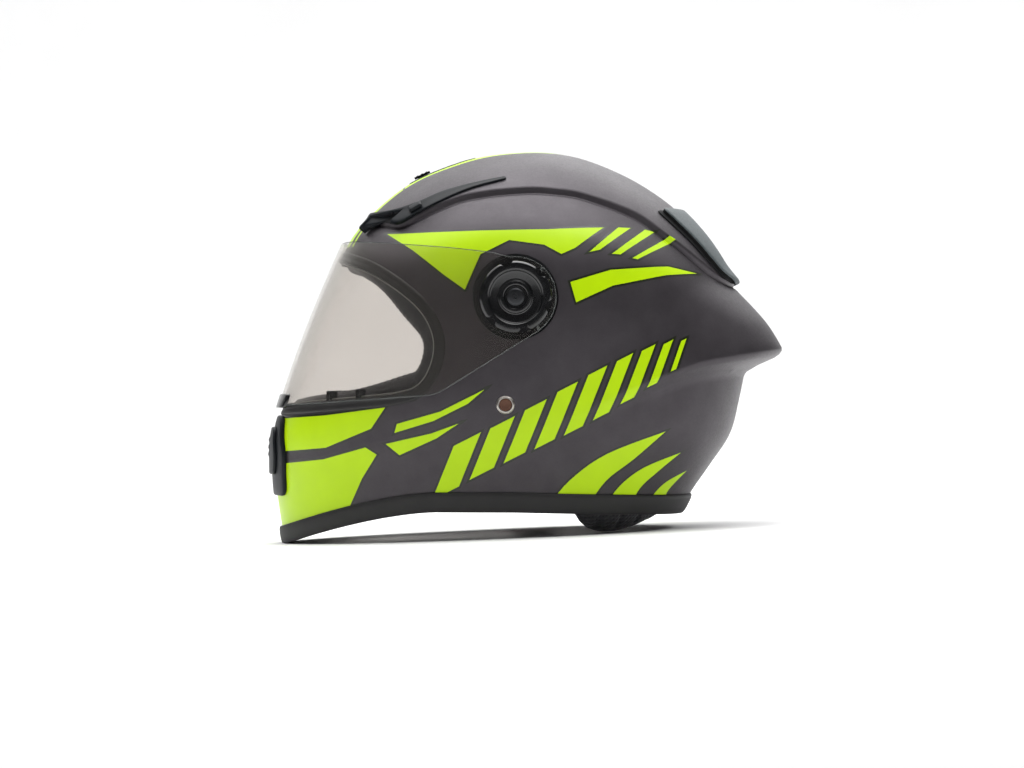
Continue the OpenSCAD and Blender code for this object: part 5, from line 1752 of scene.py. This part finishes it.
# Depths under the shell's base form: the crown foam's middle, and the comfort liner's two faces and middle
FOAM_MIDDLE = 17.0
LINER_OUT = EPS_OUT + EPS_WALL + 0.5
LINER_IN = LINER_OUT + 6.5
LINER_MIDDLE = 33.0
# The cloth simulations that swell the padding
SWELL_PRESSURE = 4.0
SWELL_FRAMES = 20


def foam_half(line, deep, step=5.0):
    """The left half of a layer under the shell, down to a line of the side view from back to front."""
    edge = traced(deep_side(deep), line, 3.0)
    edge[0, 1] = 0
    edge[-1, 1] = 180
    return half_sheet(edge, step=step)


def build_foam():
    line = [(back_y(-104.0) - 5, -104), (38, -104), (38, -62), (31, -31), (-40, -29), (-43.8, -27),
            (-48.5, -12), (-57, 0), (-72, 12), (-90, 24), (-110, 31.5), (front_y(32.0) + 10, 32.1)]
    half = foam_half(line, FOAM_MIDDLE)
    whole_layer("crown_foam", half, base_layer(EPS_OUT), base_layer(EPS_OUT + EPS_WALL), foam, slot="foam",
                replaces=["eps_liner"])
    outline = rounded([(-80, -74), (80, -74), (78, -90), (76, -122), (62, -134), (-62, -134), (-76, -122),
                       (-78, -90)], 8)
    raised("chin_foam", outline, spot_on(front_find, False), -EPS_OUT, -EPS_OUT - CHIN_EPS_WALL, foam,
           edge=3, step=5, slot="foam", replaces=["chin_eps"])
    raised("chin_breath_guard", DEFLECTOR, spot_on(front_find, False), -24.7, -27.6, knit, edge=1.4,
           step=3.5, slot="lining_cloth", replaces=["breath_deflector"])


def solid_mesh(thing):
    """The thing's mesh with its modifiers applied."""
    graph = bpy.context.evaluated_depsgraph_get()
    graph.update()
    made = bpy.data.meshes.new_from_object(thing.evaluated_get(graph))
    thing.modifiers.clear()
    thing.data = made
    return thing


def spots_of(mesh):
    spots = np.zeros(len(mesh.vertices) * 3)
    mesh.vertices.foreach_get("co", spots)
    return spots.reshape(-1, 3)


def plumped(thing, cap, voxel=5.0):
    """Swells a padded form with a cloth simulation; no point moves further than the cap."""
    again = thing.modifiers.new("even", "REMESH")
    again.mode = "VOXEL"
    again.voxel_size = voxel * MM
    solid_mesh(thing)
    before = spots_of(thing.data)
    after = before
    cloth = thing.modifiers.new("swell", "CLOTH")
    cloth.settings.use_pressure = True
    cloth.settings.uniform_pressure_force = SWELL_PRESSURE
    cloth.settings.effector_weights.gravity = 0
    cloth.point_cache.frame_start = 1
    cloth.point_cache.frame_end = SWELL_FRAMES
    for step in range(1, SWELL_FRAMES + 1):
        bpy.context.scene.frame_set(step)
    graph = bpy.context.evaluated_depsgraph_get()
    shaped = thing.evaluated_get(graph).to_mesh()
    after = spots_of(shaped)
    thing.modifiers.clear()
    bpy.context.scene.frame_set(1)
    move = after - before
    far = np.linalg.norm(move, axis=1, keepdims=True)
    move = move * np.minimum(1, cap * MM / np.maximum(far, 1e-9))
    thing.data.vertices.foreach_set("co", (before + move).ravel())
    finer = thing.modifiers.new("finer", "SUBSURF")
    finer.levels = 1
    finer.render_levels = 1
    solid_mesh(thing)
    thing.data.shade_smooth()
    return thing


def reshaped(thing, change):
    """Moves a mesh's points by a function of their places in the drawing about the pivots."""
    spots = (spots_of(thing.data) / MM - [0, -MIDDLE_Y, LIFT]) @ TURN
    thing.data.vertices.foreach_set("co", placed(change(spots)).ravel())
    thing.data.update()
    return thing


CHEEK = [(-92, -62), (-62, -66), (-44, -50), (-20, -34), (10, -36), (26, -58), (28, -95), (16, -122),
         (-12, -126), (-30, -134), (-55, -140.5), (-80, -138), (-100, -122), (-104, -90)]
CHEEK_MIDDLE = np.array([-38.0, -88.0])
CHEEK_BACK = SHELL_WALL + 6.4


def cheek_crown(part):
    return CHEEK_BACK + 9 + (CHEEK_DEPTH - CHEEK_BACK - 9) * np.maximum(0, 1 - part ** 4) ** 0.45


def cheek_form():
    """The cheek pad before it is stuffed."""
    edge = flowing(CHEEK, 7, closed=True)
    rings = []
    for part in np.concatenate([np.linspace(0.04, 0.9, 14), [0.94, 0.97, 0.99, 1.0]]):
        p = CHEEK_MIDDLE + (edge - CHEEK_MIDDLE) * part * 0.985
        rings.append(np.stack([side_x(p[:, 0], p[:, 1]) - cheek_crown(part) + 1.2, p[:, 0], p[:, 1]], -1))
    for part in (0.99, 0.96, 0.9, 0.8, 0.6, 0.4, 0.2, 0.05):
        p = CHEEK_MIDDLE + (edge - CHEEK_MIDDLE) * part * 0.985
        deep = CHEEK_BACK + 0.6 + 7 * part ** 9
        rings.append(np.stack([side_x(p[:, 0], p[:, 1]) - deep, p[:, 0], p[:, 1]], -1))
    return lofted("cheek_pad_cloth_left", rings, knit, slot="lining_cloth", replaces=["cheek_pad_left"],
                  crease=0)


def cheek_part(points):
    """How far out each point lies between the middle of the cheek pad and its edge."""
    edge = flowing(CHEEK, 7, closed=True) - CHEEK_MIDDLE
    way = np.degrees(np.arctan2(edge[:, 1], edge[:, 0])) % 360
    order = np.argsort(way)
    reach = np.linalg.norm(edge, axis=1)
    away = points[:, 1:] - CHEEK_MIDDLE
    at = np.degrees(np.arctan2(away[:, 1], away[:, 0])) % 360
    return np.linalg.norm(away, axis=1) / np.interp(at, way[order], reach[order], period=360)


def sew_cheek(points):
    """Presses the sewn channel and the piped seam into the stuffed pad, and holds it off the shell."""
    part = cheek_part(points)
    wall = side_x(points[:, 1], points[:, 2])
    face = smooth_step((wall - points[:, 0] - CHEEK_BACK - 14) / 8)
    points = points.copy()
    channel = 3.2 * np.exp(-((part - 0.64) / 0.035) ** 2)
    seam = 1.6 * np.exp(-((part - 0.9) / 0.02) ** 2)
    points[:, 0] += face * (channel + seam)
    points[:, 0] = np.minimum(points[:, 0], wall - CHEEK_BACK)
    return points


ROLL_END = 74.0


def roll_form():
    """The neck roll before it is stuffed."""
    rings = []
    for a in np.linspace(-ROLL_END, ROLL_END, 75):
        place = shell_point(cross_at(rim_z, 0, a), np.array(a))
        drop = ROLL_DROP * max(-0.4, 1 - ((place[1] - ROLL_Y) / 34) ** 2)
        close = max(0, 1 - (abs(a) / (ROLL_END + 1)) ** 8) ** 0.5
        low = float(rim_z(place[1])) - drop - 0.9
        mid, half = (-110 + low) / 2, (-110 - low) / 2
        ring = []
        for j in range(24):
            c, s = math.cos(math.radians(j * 15)), math.sin(math.radians(j * 15))
            z = mid + half * float(power(s, 0.8)) * (0.45 + 0.55 * close)
            t = slice_at(z)
            n = way_out(shell_point, t, np.array(a)) * [1, 1, 0]
            deep = 19.2 - 10.4 * float(power(c, 0.8)) * close
            ring.append(shell_point(t, np.array(a)) - unit(n) * deep)
        rings.append(ring)
    return lofted("neck_roll_cloth", rings, mesh_cloth, slot="mesh_cloth", replaces=["neck_roll"], crease=0)


def sew_roll(points):
    """Draws the upright channels of the neck roll in."""
    around = np.degrees(np.arctan2(points[:, 0], points[:, 1] - 8))
    gap = (around + 5.0) % 10.0 - 5.0
    core = 19.0
    t = slice_at(points[:, 2])
    rearward = np.maximum(points[:, 1] - 8, 0.1)
    angle = np.degrees(np.arctan2(power(np.abs(points[:, 0]), 1.1), power(rearward, 1.1)))
    wall = shell_point(t, np.where(points[:, 0] < 0, 360 - angle, angle))
    flat_way = unit((wall - points) * [1, 1, 0])
    pull = 1.7 * np.exp(-(gap / 0.9) ** 2)
    middle = wall - flat_way * core
    return points + unit(middle - points) * pull[:, None]


def sleeve_form(name, side, start, end):
    """A padded sleeve round the chin webbing."""
    rings = []
    for f in np.linspace(0, 1, 25):
        x = start + (end - start) * f
        tall = STRAP_WALL / 2 + 0.3 + 2.2 * max(0, 1 - abs(2 * f - 1) ** 6) ** 0.5 + 0.25
        wide = STRAP_WIDTH / 2 + 1.6
        ring = []
        for j in range(20):
            a = 2 * math.pi * j / 20
            ring.append((side * x, RIVET_Y + wide * float(power(math.cos(a), 0.5)),
                         STRAP_LEVEL + tall * float(power(math.sin(a), 0.7))))
        rings.append(ring)
    return lofted(name, rings, knit, slot="lining_cloth", crease=0)


def build_padding():
    left = plumped(cheek_form(), 2.2)
    reshaped(left, sew_cheek)
    right = mirror_of(left, "cheek_pad_cloth_right", replaces="cheek_pad_right")
    roll = plumped(roll_form(), 1.6, voxel=4.0)
    reshaped(roll, sew_roll)
    spots = spots_of(roll.data)
    spots[:, 2] = np.maximum(spots[:, 2], 0)
    roll.data.vertices.foreach_set("co", spots.ravel())
    line = [(back_y(-64.0) - 30, -64), (42, -64), (39, -30), (33, -24), (-38, -24), (-42, -12), (-52, 3),
            (-68, 15), (-88, 27.5), (-104, 35), (front_y(36.0) + 34, 36)]
    half = foam_half(line, LINER_MIDDLE, step=4.5)

    def quilt(t, angle):
        part = np.cos(np.radians(angle * 18))
        deep = LINER_IN - 2.2 * np.exp(-((1 - part) / 0.12)) * smooth_step((t - 1.2) / 1.0)
        return inside(t, angle, deep), way_out(shell_point, t, angle)

    liner = whole_layer("crown_comfort_liner", half, base_layer(LINER_OUT), quilt, knit,
                        slot="lining_cloth", replaces=["comfort_liner"])
    for name, side, start, end in (("left", 1, TONGUE_X + 40, STRAP_TURN - 16.3),
                                  ("right", -1, STRAP_TURN - 19.3, STRAP_TURN - 3.3)):
        pad = plumped(sleeve_form("strap_pad_" + name, side, start, end), 0.5, voxel=1.6)
        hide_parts("strap_sleeve_" + name)


build_shell()
build_trim()
build_gasket()
build_lens()
build_pivots()
build_vents()
build_rivets()
build_straps()
refinish()
build_foam()
build_padding()
